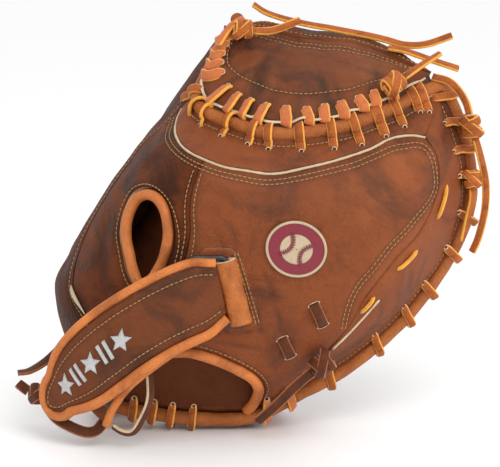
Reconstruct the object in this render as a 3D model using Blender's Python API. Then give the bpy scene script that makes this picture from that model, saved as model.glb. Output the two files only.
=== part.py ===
"""Softball catcher mitt, standing on its heel, seen from its back.

Metres, +Z up, the back of the mitt towards -Y and the pocket towards +Y.
Every panel lies on one folded sheet. A place on the sheet is (across, along),
both shares of MITT_LENGTH, and a height: below zero towards the back of the
hand, above zero towards the pocket. The sheet's sections are in SECTIONS.
"""
import math

import bmesh
import bpy
import numpy as np

for old in list(bpy.data.objects):
    bpy.data.objects.remove(old, do_unlink=True)

MITT_LENGTH = 0.300
LEAN_DEG = 31.3
HEEL_X = -0.0702
HEEL_Y = -0.0358
HEEL_Z = 0.0243
THUMB_REACH = 0.433
FINGER_REACH = 0.250

WALL = 0.0030
GAP = 0.0004
HAND_SPACE = 0.0265
HAND_SPACE_RUN = 0.050
TIP_FILL = 0.012
PAD_POCKET = 0.009
PAD_RIM = 0.024
PAD_EDGE = 0.007
PAD_RIM_RUN = 0.034
PAD_SIDE = 0.0120
PAD_OVERHANG = 0.0015
HEEL_OVERHANG = 0.0045
HEEL_PAD = 0.026
HEEL_PAD_REACH = 0.0147
HEEL_PAD_SPREAD = 0.024
THUMB_PAD_SHARE = 0.78
FINGER_PAD_SHARE = 1.30
ROLL_RADIUS = 0.0040
LACE_THICK = 0.0016
LACE_WIDTH = 0.0062
LACE_PITCH = 0.0185
WEB_LACE_PITCH = 0.0125
BINDING_RADIUS = 0.0036
WEB_WALL = 0.0030
WEB_BULGE = 0.010
WEB_BAND_HEIGHT = 0.013
WEB_BAND_THICK = 0.0075
PIPING_RADIUS = 0.0012
PATCH_RADIUS = 0.0187
PATCH_THICK = 0.0016
STRAP_THICK = 0.0030
STRAP_BINDING_RADIUS = 0.0025
CLOSURE_THICK = 0.0012
RING_RADIUS = 0.0021
KEEPER_RADIUS = 0.0062
KEEPER_WALL = 0.0037
CORD_RADIUS = 0.0019

SECTION_COLUMNS = (
    "along", "hinge", "bend", "turn_deg", "thumb_curl", "finger_curl", "set_back"
)
SECTIONS = (
    (-0.200, -0.020, 0.070, 95.0, 0.040, 0.120, 0.060),
    (-0.080, -0.022, 0.082, 95.0, 0.042, 0.110, 0.045),
    (-0.010, -0.026, 0.136, 95.0, 0.044, 0.100, 0.034),
    (0.060, -0.034, 0.176, 95.0, 0.047, 0.088, 0.026),
    (0.140, -0.042, 0.176, 95.0, 0.054, 0.078, 0.014),
    (0.320, -0.050, 0.168, 96.0, 0.080, 0.050, 0.000),
    (0.450, -0.050, 0.162, 96.0, 0.095, 0.030, 0.000),
    (0.630, -0.055, 0.157, 96.0, 0.115, 0.020, 0.015),
    (0.850, -0.060, 0.166, 98.0, 0.110, 0.045, 0.100),
    (1.000, -0.060, 0.166, 98.0, 0.110, 0.060, 0.200),
)

# The roll's centre line all round the mitt: across, along.
RIM_PERIMETER = (
    (0.200, 0.918),
    (0.244, 0.898),
    (0.299, 0.853),
    (0.350, 0.802),
    (0.396, 0.728),
    (0.417, 0.639),
    (0.415, 0.520),
    (0.393, 0.404),
    (0.344, 0.274),
    (0.281, 0.170),
    (0.218, 0.069),
    (0.104, -0.003),
    (0.036, -0.034),
    (-0.040, -0.065),
    (-0.120, -0.085),
    (-0.200, -0.104),
    (-0.270, -0.092),
    (-0.330, -0.070),
    (-0.400, -0.034),
    (-0.458, 0.045),
    (-0.500, 0.150),
    (-0.530, 0.320),
    (-0.535, 0.500),
    (-0.510, 0.650),
    (-0.455, 0.760),
    (-0.395, 0.795),
)
RIM_WEB = (
    (-0.350, 0.760),
    (-0.318, 0.690),
    (-0.290, 0.632),
    (-0.240, 0.608),
    (-0.145, 0.630),
    (-0.099, 0.644),
    (-0.044, 0.675),
    (0.016, 0.719),
    (0.053, 0.750),
    (0.087, 0.788),
    (0.123, 0.829),
    (0.160, 0.880),
)

# The heel pad's middle, where the mitt's weight rests on the thumb side.
HEEL_PAD_PLACE = (0.250, 0.115)

# Lines on the back, across and along.
PIPING_LINE = (
    (-0.292, 0.575),
    (-0.262, 0.541),
    (-0.219, 0.525),
    (-0.182, 0.523),
    (-0.147, 0.531),
    (-0.113, 0.543),
    (-0.083, 0.561),
    (-0.035, 0.590),
    (0.011, 0.631),
    (0.061, 0.678),
    (0.109, 0.729),
    (0.141, 0.772),
    (0.175, 0.800),
    (0.200, 0.812),
)
BAND_LINE = (
    (0.207, 0.808),
    (0.238, 0.790),
    (0.262, 0.752),
    (0.272, 0.700),
    (0.272, 0.625),
    (0.260, 0.565),
    (0.252, 0.499),
    (0.250, 0.438),
    (0.256, 0.370),
    (0.258, 0.300),
)
THUMB_HEEL_LINE = (
    (0.253, 0.294),
    (0.254, 0.240),
    (0.255, 0.180),
    (0.231, 0.128),
    (0.203, 0.090),
)
SEAM_LINE = (
    (-0.036, 0.140),
    (-0.062, 0.230),
    (-0.084, 0.322),
    (-0.100, 0.385),
    (-0.122, 0.440),
    (-0.146, 0.526),
)
WRIST_LINE = (
    (-0.036, 0.128),
    (0.008, 0.157),
    (0.075, 0.173),
    (0.140, 0.173),
    (0.178, 0.154),
    (0.193, 0.124),
)
HOLE_LINE = (
    (-0.113, 0.250),
    (-0.114, 0.300),
    (-0.123, 0.345),
    (-0.136, 0.374),
    (-0.153, 0.396),
    (-0.172, 0.404),
    (-0.191, 0.396),
    (-0.204, 0.374),
    (-0.204, 0.345),
    (-0.197, 0.318),
    (-0.183, 0.292),
    (-0.163, 0.268),
    (-0.142, 0.242),
    (-0.123, 0.228),
)
HOLE_CENTRE = (-0.158, 0.325)
FINGER_FOOT_LINE = (
    (-0.158, 0.098),
    (-0.100, 0.106),
    (-0.040, 0.126),
)
FINGER_EDGE_LINE = (
    (-0.168, 0.094),
    (-0.228, 0.124),
    (-0.269, 0.214),
    (-0.282, 0.330),
    (-0.276, 0.445),
    (-0.300, 0.578),
)
PINKY_WRIST_LINE = (
    (-0.166, 0.090),
    (-0.150, 0.030),
    (-0.166, -0.030),
    (-0.206, -0.076),
)

# The web's top edge and what hangs free: across, along and away, not on the sheet.
WEB_TOP = (
    (-0.285, 0.770, 0.185),
    (-0.221, 0.818, 0.250),
    (-0.168, 0.836, 0.278),
    (-0.113, 0.852, 0.293),
    (-0.052, 0.880, 0.293),
    (0.003, 0.904, 0.280),
    (0.073, 0.920, 0.247),
    (0.127, 0.922, 0.213),
    (0.168, 0.922, 0.185),
)
STRAP_TOP = (
    (-0.068, 0.360, -0.1382),
    (-0.100, 0.341, -0.1442),
    (-0.143, 0.289, -0.154),
    (-0.184, 0.224, -0.158),
    (-0.217, 0.144, -0.147),
    (-0.237, 0.070, -0.118),
    (-0.241, 0.007, -0.090),
    (-0.227, -0.052, -0.070),
)
STRAP_BOTTOM = (
    (0.026, 0.262, -0.1382),
    (0.014, 0.228, -0.1478),
    (-0.010, 0.195, -0.160),
    (-0.043, 0.151, -0.168),
    (-0.066, 0.088, -0.165),
    (-0.088, 0.031, -0.153),
    (-0.113, -0.035, -0.130),
    (-0.147, -0.088, -0.100),
)
STRAP_LOWER_TOP = (
    (-0.074, 0.338, 0.0327),
    (-0.105, 0.270, 0.0425),
    (-0.130, 0.180, 0.0250),
    (-0.145, 0.090, 0.0225),
    (-0.150, 0.010, 0.0225),
    (-0.128, -0.060, 0.0225),
)
STRAP_LOWER_BOTTOM = (
    (0.012, 0.250, 0.0350),
    (-0.024, 0.160, 0.0425),
    (-0.060, 0.077, 0.0240),
    (-0.074, 0.020, 0.0225),
    (-0.074, -0.035, 0.0225),
    (-0.066, -0.074, 0.0225),
)
RING_RIGHT = ((-0.038, 0.386, -0.1232), (0.070, 0.279, -0.1232))
RING_WIDTH = (-0.062, -0.038)
PATCH_PLACE = (0.071, 0.477)

KNOTS = (
    ("web_knot_left", (-0.245, 0.795, 0.1757), 0.0075),
    ("web_knot_right", (0.098, 0.874, 0.0890), 0.0085),
    ("thumb_knot_upper", (0.303, 0.879, 0.1300), 0.0085),
    ("thumb_knot_lower", (0.366, 0.780, 0.1268), 0.0068),
    ("heel_knot", (0.272, 0.283, -0.0652), 0.0090),
    ("pinky_knot", (-0.218, -0.118, 0.000), 0.0085),
)
CORDS = (
    ("top_lace", (
        (-0.249, 0.847, 0.270), (-0.215, 0.846, 0.272), (-0.171, 0.856, 0.268),
        (-0.116, 0.874, 0.268), (-0.074, 0.8905, 0.270), (-0.032, 0.9062, 0.268),
        (0.009, 0.9222, 0.262), (0.050, 0.937, 0.248), (0.090, 0.950, 0.236),
        (0.130, 0.976, 0.234), (0.171, 1.023, 0.240))),
    ("top_lace_short", (
        (0.060, 0.9258, 0.218), (0.093, 0.940, 0.212), (0.157, 0.954, 0.212),
        (0.221, 0.968, 0.222))),
    ("web_knot_right_tail", (
        (0.098, 0.874, 0.0890), (0.126, 0.928, 0.118), (0.156, 0.982, 0.140))),
    ("web_knot_left_tail", (
        (-0.245, 0.795, 0.1757), (-0.189, 0.824, 0.192), (-0.144, 0.877, 0.208))),
    ("thumb_lace", (
        (0.173, 0.927, 0.165), (0.214, 0.938, 0.150), (0.262, 0.920, 0.132),
        (0.303, 0.879, 0.1300))),
    ("thumb_tail_upper", (
        (0.303, 0.879, 0.1300), (0.350, 0.838, 0.124), (0.398, 0.788, 0.128),
        (0.430, 0.735, 0.130), (0.452, 0.676, 0.136), (0.460, 0.637, 0.142))),
    ("thumb_tail_lower", (
        (0.366, 0.780, 0.1268), (0.390, 0.745, 0.122), (0.404, 0.700, 0.112),
        (0.420, 0.651, 0.108))),
    ("heel_tail", (
        (0.272, 0.283, -0.0652), (0.249, 0.215, -0.072), (0.234, 0.150, -0.070),
        (0.222, 0.092, -0.048))),
    ("pinky_tail", (
        (-0.218, -0.118, 0.000), (-0.240, -0.128, 0.004), (-0.272, -0.128, 0.014))),
    ("pinky_tail_upper", (
        (-0.222, -0.0142, 0.110), (-0.238, -0.060, 0.074), (-0.262, -0.094, 0.036),
        (-0.284, -0.112, 0.030))),
    ("pinky_lace", (
        (-0.218, -0.118, 0.000), (-0.170, -0.132, -0.050), (-0.132, -0.124, -0.086),
        (-0.096, -0.112, -0.104), (-0.078, -0.100, -0.094),
        (-0.073, -0.0755, -0.092))),
    ("wrist_loop", (
        (-0.0516, 0.0872, -0.1292), (-0.018, 0.034, -0.129), (-0.008, -0.020, -0.124),
        (-0.010, -0.055, -0.118), (-0.030, -0.068, -0.112), (-0.052, -0.070, -0.102))),
)

CORD_NAMES = [row[0] for row in CORDS]

mitt = bpy.data.collections.new("softball_catcher_mitt")
bpy.context.scene.collection.children.link(mitt)

COLORS = {
    "brown_leather": (0.205, 0.070, 0.030),
    "web_leather": (0.150, 0.052, 0.026),
    "lining_leather": (0.090, 0.035, 0.020),
    "orange_leather": (0.480, 0.190, 0.055),
    "lace_leather": (0.560, 0.240, 0.075),
    "dark_lace_leather": (0.130, 0.050, 0.028),
    "cream_piping": (0.720, 0.600, 0.440),
    "crimson_patch": (0.300, 0.020, 0.055),
    "black_plastic": (0.020, 0.020, 0.022),
    "black_closure": (0.030, 0.030, 0.032),
}


def smooth_step(x):
    t = np.clip(x, 0.0, 1.0)
    return t * t * (3.0 - 2.0 * t)


def section_column(along, name):
    """A column of SECTIONS at these places along the mitt, as one smooth curve."""
    xs = np.array([row[0] for row in SECTIONS])
    ys = np.array([row[SECTION_COLUMNS.index(name)] for row in SECTIONS])
    slope = np.gradient(ys, xs)
    x = np.clip(np.asarray(along, float), xs[0], xs[-1])
    i = np.clip(np.searchsorted(xs, x) - 1, 0, len(xs) - 2)
    w = xs[i + 1] - xs[i]
    t = (x - xs[i]) / w
    return (
        (2 * t**3 - 3 * t**2 + 1) * ys[i]
        + (t**3 - 2 * t**2 + t) * w * slope[i]
        + (3 * t**2 - 2 * t**3) * ys[i + 1]
        + (t**3 - t**2) * w * slope[i + 1]
    )


def section_point(across, along):
    """The sheet's section: sideways and away, in shares."""
    hinge = section_column(along, "hinge")
    bend = section_column(along, "bend")
    turn = np.radians(section_column(along, "turn_deg"))
    right = np.clip(across - hinge, 0.0, None)
    left = np.clip(hinge - across, 0.0, None)
    arc = np.minimum(left, bend * turn)
    angle = arc / bend
    rest = left - arc
    side = hinge + right - bend * np.sin(angle) - rest * np.cos(angle)
    away = bend * (1.0 - np.cos(angle)) + rest * np.sin(angle)
    away = away + section_column(along, "thumb_curl") * (right / THUMB_REACH) ** 2
    cup = section_column(along, "finger_curl") * (rest / FINGER_REACH) ** 2
    side = side + cup * np.sin(angle)
    away = away + cup * np.cos(angle) + section_column(along, "set_back")
    return side, away


def stand(side, along, away):
    """Shares across, along and away, as metres where the mitt stands."""
    lean = math.radians(LEAN_DEG)
    side = np.asarray(side, float) * MITT_LENGTH
    along = np.asarray(along, float) * MITT_LENGTH
    away = np.asarray(away, float) * MITT_LENGTH
    x = HEEL_X + side * math.cos(lean) + along * math.sin(lean)
    z = HEEL_Z + along * math.cos(lean) - side * math.sin(lean)
    return np.stack([x, HEEL_Y + away, z], axis=-1)


def on_sheet(across, along, height=0.0):
    """Metres of a place on the sheet, raised towards the pocket by height metres."""
    across, along, height = np.broadcast_arrays(
        np.asarray(across, float), np.asarray(along, float), np.asarray(height, float)
    )
    step = 0.002
    side_a, away_a = section_point(across - step, along)
    side_b, away_b = section_point(across + step, along)
    run = np.hypot(side_b - side_a, away_b - away_a)
    side, away = section_point(across, along)
    lift = height / MITT_LENGTH
    side = side - lift * (away_b - away_a) / run
    away = away + lift * (side_b - side_a) / run
    return stand(side, along, away)


def smooth_line(points, count, closed=False):
    """Evenly spaced points on a smooth curve through these."""
    base = np.asarray(points, float)
    if closed:
        ring = np.vstack([base[-1], base, base[0], base[1]])
    else:
        ring = np.vstack([2 * base[0] - base[1], base, 2 * base[-1] - base[-2]])
    fine = []
    for i in range(1, len(ring) - 2):
        a, b, c, d = ring[i - 1], ring[i], ring[i + 1], ring[i + 2]
        t = np.linspace(0.0, 1.0, 16, endpoint=False)[:, None]
        fine.append(
            0.5 * (2 * b + (c - a) * t + (2 * a - 5 * b + 4 * c - d) * t**2
                   + (3 * b - a - 3 * c + d) * t**3)
        )
    fine.append(ring[-2][None])
    fine = np.vstack(fine)
    run = np.concatenate([[0.0], np.cumsum(np.linalg.norm(np.diff(fine, axis=0), axis=1))])
    at = np.linspace(0.0, run[-1], count + 1)[:-1] if closed else np.linspace(0.0, run[-1], count)
    return np.stack([np.interp(at, run, fine[:, k]) for k in range(fine.shape[1])], axis=-1)


def paired_line(points, per_span, closed=False):
    """A smooth curve sampled the same number of times in every span, so that two lines keep step."""
    base = np.asarray(points, float)
    if closed:
        ring = np.vstack([base[-1], base, base[0], base[1]])
    else:
        ring = np.vstack([2 * base[0] - base[1], base, 2 * base[-1] - base[-2]])
    out = []
    for i in range(1, len(ring) - 2):
        a, b, c, d = ring[i - 1], ring[i], ring[i + 1], ring[i + 2]
        t = np.linspace(0.0, 1.0, per_span, endpoint=False)[:, None]
        out.append(
            0.5 * (2 * b + (c - a) * t + (2 * a - 5 * b + 4 * c - d) * t**2
                   + (3 * b - a - 3 * c + d) * t**3)
        )
    if not closed:
        out.append(base[-1][None])
    return np.vstack(out)


def shift_line(line, distance, closed=False):
    """A flat line moved to its left by distance, both in shares."""
    line = np.asarray(line, float)
    if closed:
        tangent = np.roll(line, -1, axis=0) - np.roll(line, 1, axis=0)
    else:
        tangent = np.gradient(line, axis=0)
    tangent /= np.linalg.norm(tangent, axis=1)[:, None]
    return line + distance * np.stack([-tangent[:, 1], tangent[:, 0]], axis=-1)


def spread_round(loop, target, centre):
    """Points of a closed loop that face each point of a target loop from the centre."""
    arm = loop - np.asarray(centre)
    angle = np.arctan2(arm[:, 1], arm[:, 0])
    order = np.argsort(angle)
    angle = angle[order]
    radius = np.linalg.norm(arm, axis=1)[order]
    aim = target - np.asarray(centre)
    want = np.arctan2(aim[:, 1], aim[:, 0])
    reach = np.interp(want, angle, radius, period=2 * math.pi)
    return np.asarray(centre) + reach[:, None] * np.stack([np.cos(want), np.sin(want)], axis=-1)


RIM_TABLE = RIM_PERIMETER + RIM_WEB
RIM = smooth_line(RIM_TABLE, 144, closed=True)
RIM_INSET = (ROLL_RADIUS + LACE_THICK + 2 * GAP) / MITT_LENGTH


def from_rim(across, along):
    """Metres from the rim's inner line."""
    flat = np.stack(np.broadcast_arrays(across, along), axis=-1)
    far = np.linalg.norm(flat[..., None, :] - RIM, axis=-1).min(axis=-1)
    return np.clip((far - RIM_INSET) * MITT_LENGTH, 0.0, None)


def back_height(across, along):
    """Height of the back panels' outside."""
    x = np.clip(from_rim(across, along) / HAND_SPACE_RUN, 0.0, 1.0)
    room = HAND_SPACE * (1.0 - (1.0 - x) ** 2)
    tip = TIP_FILL * smooth_step((-0.16 - np.asarray(across)) / 0.12)
    tip = tip * smooth_step((np.asarray(along) - 0.50) / 0.10) * (1.0 - x) ** 2
    return -(WALL + 2 * GAP + room + tip)


def heel_swell(across, along):
    """How far the heel pad is swollen, from 0 away from it to 1 at its middle."""
    far = np.hypot(np.asarray(across) - HEEL_PAD_PLACE[0], np.asarray(along) - HEEL_PAD_PLACE[1])
    return np.exp(-((far * MITT_LENGTH / HEEL_PAD_SPREAD) ** 2))


def pad_depth(across, along):
    """Thickness of the palm's padding."""
    x = from_rim(across, along) / PAD_RIM_RUN
    bulge = (x * np.exp(1.0 - x)) ** 1.5
    base = PAD_EDGE + (PAD_POCKET - PAD_EDGE) * smooth_step(x / 3.0)
    side = 1.0 + (THUMB_PAD_SHARE - 1.0) * smooth_step(np.asarray(across) / 0.20)
    side = side + (FINGER_PAD_SHARE - 1.0) * smooth_step((-0.06 - np.asarray(across)) / 0.16)
    depth = side * (base + (PAD_RIM - base) * np.clip(bulge, 0.0, 1.0))
    return depth + HEEL_PAD * heel_swell(across, along)


def add_object(name, vertices, faces, color, smooth=True):
    mesh = bpy.data.meshes.new(name)
    mesh.from_pydata([tuple(map(float, v)) for v in vertices], [], [tuple(map(int, f)) for f in faces])
    obj = bpy.data.objects.new(name, mesh)
    mitt.objects.link(obj)
    bm = bmesh.new()
    bm.from_mesh(mesh)
    bmesh.ops.remove_doubles(bm, verts=bm.verts, dist=1e-5)
    bmesh.ops.triangulate(bm, faces=bm.faces)
    bmesh.ops.recalc_face_normals(bm, faces=bm.faces)
    if bm.calc_volume(signed=True) < 0:
        bmesh.ops.reverse_faces(bm, faces=bm.faces)
    bm.to_mesh(mesh)
    bm.free()
    mesh.polygons.foreach_set("use_smooth", [smooth] * len(mesh.polygons))
    material = bpy.data.materials.new(name)
    material.use_nodes = True
    shader = material.node_tree.nodes["Principled BSDF"]
    shader.inputs["Base Color"].default_value = (*COLORS[color], 1.0)
    shader.inputs["Roughness"].default_value = 0.55
    mesh.materials.append(material)
    return obj


def grid_solid(name, outside, inside, color):
    """A closed wall between two grids of the same shape."""
    rows, cols = outside.shape[:2]
    vertices = np.concatenate([outside.reshape(-1, 3), inside.reshape(-1, 3)])
    half = rows * cols

    def at(r, c):
        return r * cols + c

    faces = []
    for r in range(rows - 1):
        for c in range(cols - 1):
            a, b, d, e = at(r, c), at(r, c + 1), at(r + 1, c + 1), at(r + 1, c)
            faces.append((a, b, d, e))
            faces.append((half + e, half + d, half + b, half + a))
    edge = [at(0, c) for c in range(cols)]
    edge += [at(r, cols - 1) for r in range(1, rows)]
    edge += [at(rows - 1, c) for c in range(cols - 2, -1, -1)]
    edge += [at(r, 0) for r in range(rows - 2, 0, -1)]
    for k in range(len(edge)):
        a, b = edge[k], edge[(k + 1) % len(edge)]
        faces.append((b, a, half + a, half + b))
    return add_object(name, vertices, faces, color)


def ring_solid(name, outside, inside, color):
    """A closed wall between two grids whose columns run right round a hole."""
    rows, cols = outside.shape[:2]
    vertices = np.concatenate([outside.reshape(-1, 3), inside.reshape(-1, 3)])
    half = rows * cols
    faces = []
    for r in range(rows - 1):
        for c in range(cols):
            n = (c + 1) % cols
            a, b, d, e = r * cols + c, r * cols + n, (r + 1) * cols + n, (r + 1) * cols + c
            faces.append((a, b, d, e))
            faces.append((half + e, half + d, half + b, half + a))
    for r in (0, rows - 1):
        for c in range(cols):
            a, b = r * cols + c, r * cols + (c + 1) % cols
            faces.append((a, b, half + b, half + a) if r else (b, a, half + a, half + b))
    return add_object(name, vertices, faces, color)


def sheet_panel(name, flat, color, lift=0.0, wall=WALL):
    """A panel on the back: a grid of (across, along) with the back's height."""
    across, along = flat[..., 0], flat[..., 1]
    top = back_height(across, along) - lift
    outside = on_sheet(across, along, top)
    inside = on_sheet(across, along, top + wall)
    return grid_solid(name, outside, inside, color)


def coons(left, right, bottom, top):
    """A grid of rows from bottom to top between four flat lines."""
    rows, cols = len(left), len(bottom)
    u = np.linspace(0.0, 1.0, cols)[None, :, None]
    v = np.linspace(0.0, 1.0, rows)[:, None, None]
    ruled = (1 - u) * left[:, None] + u * right[:, None] + (1 - v) * bottom[None] + v * top[None]
    corner = (
        (1 - u) * (1 - v) * bottom[0] + u * (1 - v) * bottom[-1]
        + (1 - u) * v * top[0] + u * v * top[-1]
    )
    return ruled - corner


def frames(path, closed=False):
    """Two sideways directions along a path, carried without twist."""
    if closed:
        tangent = np.roll(path, -1, axis=0) - np.roll(path, 1, axis=0)
    else:
        tangent = np.gradient(path, axis=0)
    tangent /= np.linalg.norm(tangent, axis=1)[:, None]
    first = np.cross(tangent[0], (0.31, 0.22, 0.93))
    first /= np.linalg.norm(first)
    sides = [first]
    for t in tangent[1:]:
        s = sides[-1] - t * np.dot(sides[-1], t)
        sides.append(s / np.linalg.norm(s))
    sides = np.array(sides)
    return sides, np.cross(tangent, sides)


def tube(name, path, radii, color, sides=8, closed=False, start_angle=0.0):
    """A round bar along a path, its radius given at each point."""
    side, up = frames(path, closed)
    radii = np.broadcast_to(np.asarray(radii, float), (len(path),))
    turn = start_angle + np.arange(sides) * 2 * math.pi / sides
    ring = (
        path[:, None]
        + radii[:, None, None] * (
            np.cos(turn)[None, :, None] * side[:, None] + np.sin(turn)[None, :, None] * up[:, None]
        )
    )
    count = len(path)
    vertices = list(ring.reshape(-1, 3))
    faces = []
    for i in range(count if closed else count - 1):
        n = (i + 1) % count
        for k in range(sides):
            m = (k + 1) % sides
            faces.append((i * sides + k, i * sides + m, n * sides + m, n * sides + k))
    if not closed:
        faces.append(tuple(range(sides - 1, -1, -1)))
        faces.append(tuple((count - 1) * sides + k for k in range(sides)))
    return add_object(name, vertices, faces, color)


def laced_roll(name, flat, height, pitch, color, sides=6):
    """A leather roll with its lacing: a bar with a flat ridge at every loop."""
    length = np.linalg.norm(np.diff(on_sheet(flat[:, 0], flat[:, 1], 0.0), axis=0), axis=1).sum()
    loops = max(2, int(round(length / pitch)))
    spots = []
    grow = []
    half = 0.5 * LACE_WIDTH / length
    for k in range(loops):
        middle = (k + 0.5) / loops
        if not spots:
            spots += [0.0]
            grow += [0.0]
        foot = 0.0006 / length
        spots += [middle - half - foot, middle - half, middle + half, middle + half + foot]
        grow += [0.0, 1.0, 1.0, 0.0]
    spots += [1.0]
    grow += [0.0]
    run = np.linspace(0.0, 1.0, len(flat))
    line = np.stack([np.interp(spots, run, flat[:, k]) for k in range(2)], axis=-1)
    lift = np.interp(spots, run, np.broadcast_to(height, (len(flat),)))
    path = on_sheet(line[:, 0], line[:, 1], lift)
    radii = ROLL_RADIUS + LACE_THICK * np.array(grow)
    return tube(name, path, radii, color, sides)


def ribbon(name, edge_a, edge_b, thick, color, along_count, across_count, crown=0.0):
    """A flat band between two edges given across, along and away."""
    a = smooth_line(edge_a, along_count)
    b = smooth_line(edge_b, along_count)
    t = np.linspace(0.0, 1.0, across_count)[None, :, None]
    middle = stand(*np.moveaxis((1 - t) * a[:, None] + t * b[:, None], -1, 0))
    du = np.gradient(middle, axis=0)
    dv = np.gradient(middle, axis=1)
    normal = np.cross(du, dv)
    normal /= np.linalg.norm(normal, axis=-1)[..., None]
    if normal[..., 1].mean() > 0:
        normal = -normal
    swell = crown * np.sin(math.pi * t[..., 0])[..., None]
    outside = middle + normal * (thick / 2 + swell)
    inside = middle - normal * (thick / 2 - swell)
    return grid_solid(name, outside, inside, color)


def part_of_rim(first, last, count):
    """The rim's centre line between two places of RIM_TABLE, in order."""
    fine = paired_line(RIM_TABLE, 12, closed=True)
    start, stop = int(first * 12), int(last * 12)
    keep = fine[np.arange(start, stop + 1) % len(fine)]
    run = np.concatenate([[0.0], np.cumsum(np.linalg.norm(np.diff(keep, axis=0), axis=1))])
    at = np.linspace(0.0, run[-1], count)
    return np.stack([np.interp(at, run, keep[:, k]) for k in range(2)], axis=-1)


def roll_height(across, along):
    """The roll sits level with the back panels' edge."""
    tip = TIP_FILL * smooth_step((-0.16 - np.asarray(across)) / 0.12)
    tip = tip * smooth_step((np.asarray(along) - 0.50) / 0.10)
    return -0.0020 - tip


def build_palm():
    """The padded palm: its lining on the hand's side and its face on the pocket's."""
    count = 60
    rim = smooth_line(RIM_TABLE, count, closed=True)
    edge = shift_line(rim, -RIM_INSET, closed=True)
    middle = np.array([-0.070, 0.330])
    core = middle + 0.16 * (edge - middle)
    back, front = [], []
    for share in (0.0, 0.30, 0.56, 0.74, 0.88, 1.0):
        ring = (1 - share) * core + share * edge
        back.append(on_sheet(ring[:, 0], ring[:, 1], 0.0))
        if share < 1.0:
            deep = pad_depth(ring[:, 0], ring[:, 1])
            front.append(on_sheet(ring[:, 0], ring[:, 1], deep))
    heel = smooth_step((rim[:, 0] + 0.03) / 0.08) * smooth_step((0.17 - rim[:, 1]) / 0.10)
    heel = heel + smooth_step((-0.24 - rim[:, 0]) / 0.08) * smooth_step((0.10 - rim[:, 1]) / 0.10)
    web = smooth_step((rim[:, 1] - 0.55) / 0.08) * smooth_step((0.20 - rim[:, 0]) / 0.06)
    web = web * smooth_step((rim[:, 0] + 0.36) / 0.08)
    depth = PAD_SIDE * (1.0 - 0.55 * web)
    bulge = PAD_OVERHANG + HEEL_OVERHANG * heel - (RIM_INSET * MITT_LENGTH + PAD_OVERHANG) * web
    swell = heel_swell(rim[:, 0], rim[:, 1])
    normal = (rim - edge) / np.linalg.norm(rim - edge, axis=1)[:, None]
    for part, level, low, out in ((0.34, 0.62, 0.1, 0.0), (1.0, 1.0, 0.45, 0.25), (0.55, 1.50, 1.0, 1.15)):
        reach = RIM_INSET * part * (1.0 - web) + bulge * part / MITT_LENGTH
        reach = reach * (1.0 - web) + swell * out * HEEL_PAD_REACH / MITT_LENGTH
        ring = edge + normal * reach[:, None]
        back.append(on_sheet(ring[:, 0], ring[:, 1], depth * level + HEEL_PAD * low * swell))
    rings = back + front[::-1]
    vertices = np.concatenate(rings)
    rows = len(rings)
    faces = []
    for r in range(rows - 1):
        for c in range(count):
            n = (c + 1) % count
            faces.append((r * count + c, r * count + n, (r + 1) * count + n, (r + 1) * count + c))
    low = len(vertices)
    first = on_sheet(middle[0], middle[1], 0.0)
    last = on_sheet(middle[0], middle[1], pad_depth(middle[0], middle[1]))
    vertices = np.concatenate([vertices, first.reshape(1, 3), last.reshape(1, 3)])
    top = (rows - 1) * count
    for c in range(count):
        n = (c + 1) % count
        faces.append((n, c, low))
        faces.append((top + c, top + n, low + 1))
    return add_object("palm_pad", vertices, faces, "brown_leather")


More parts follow.
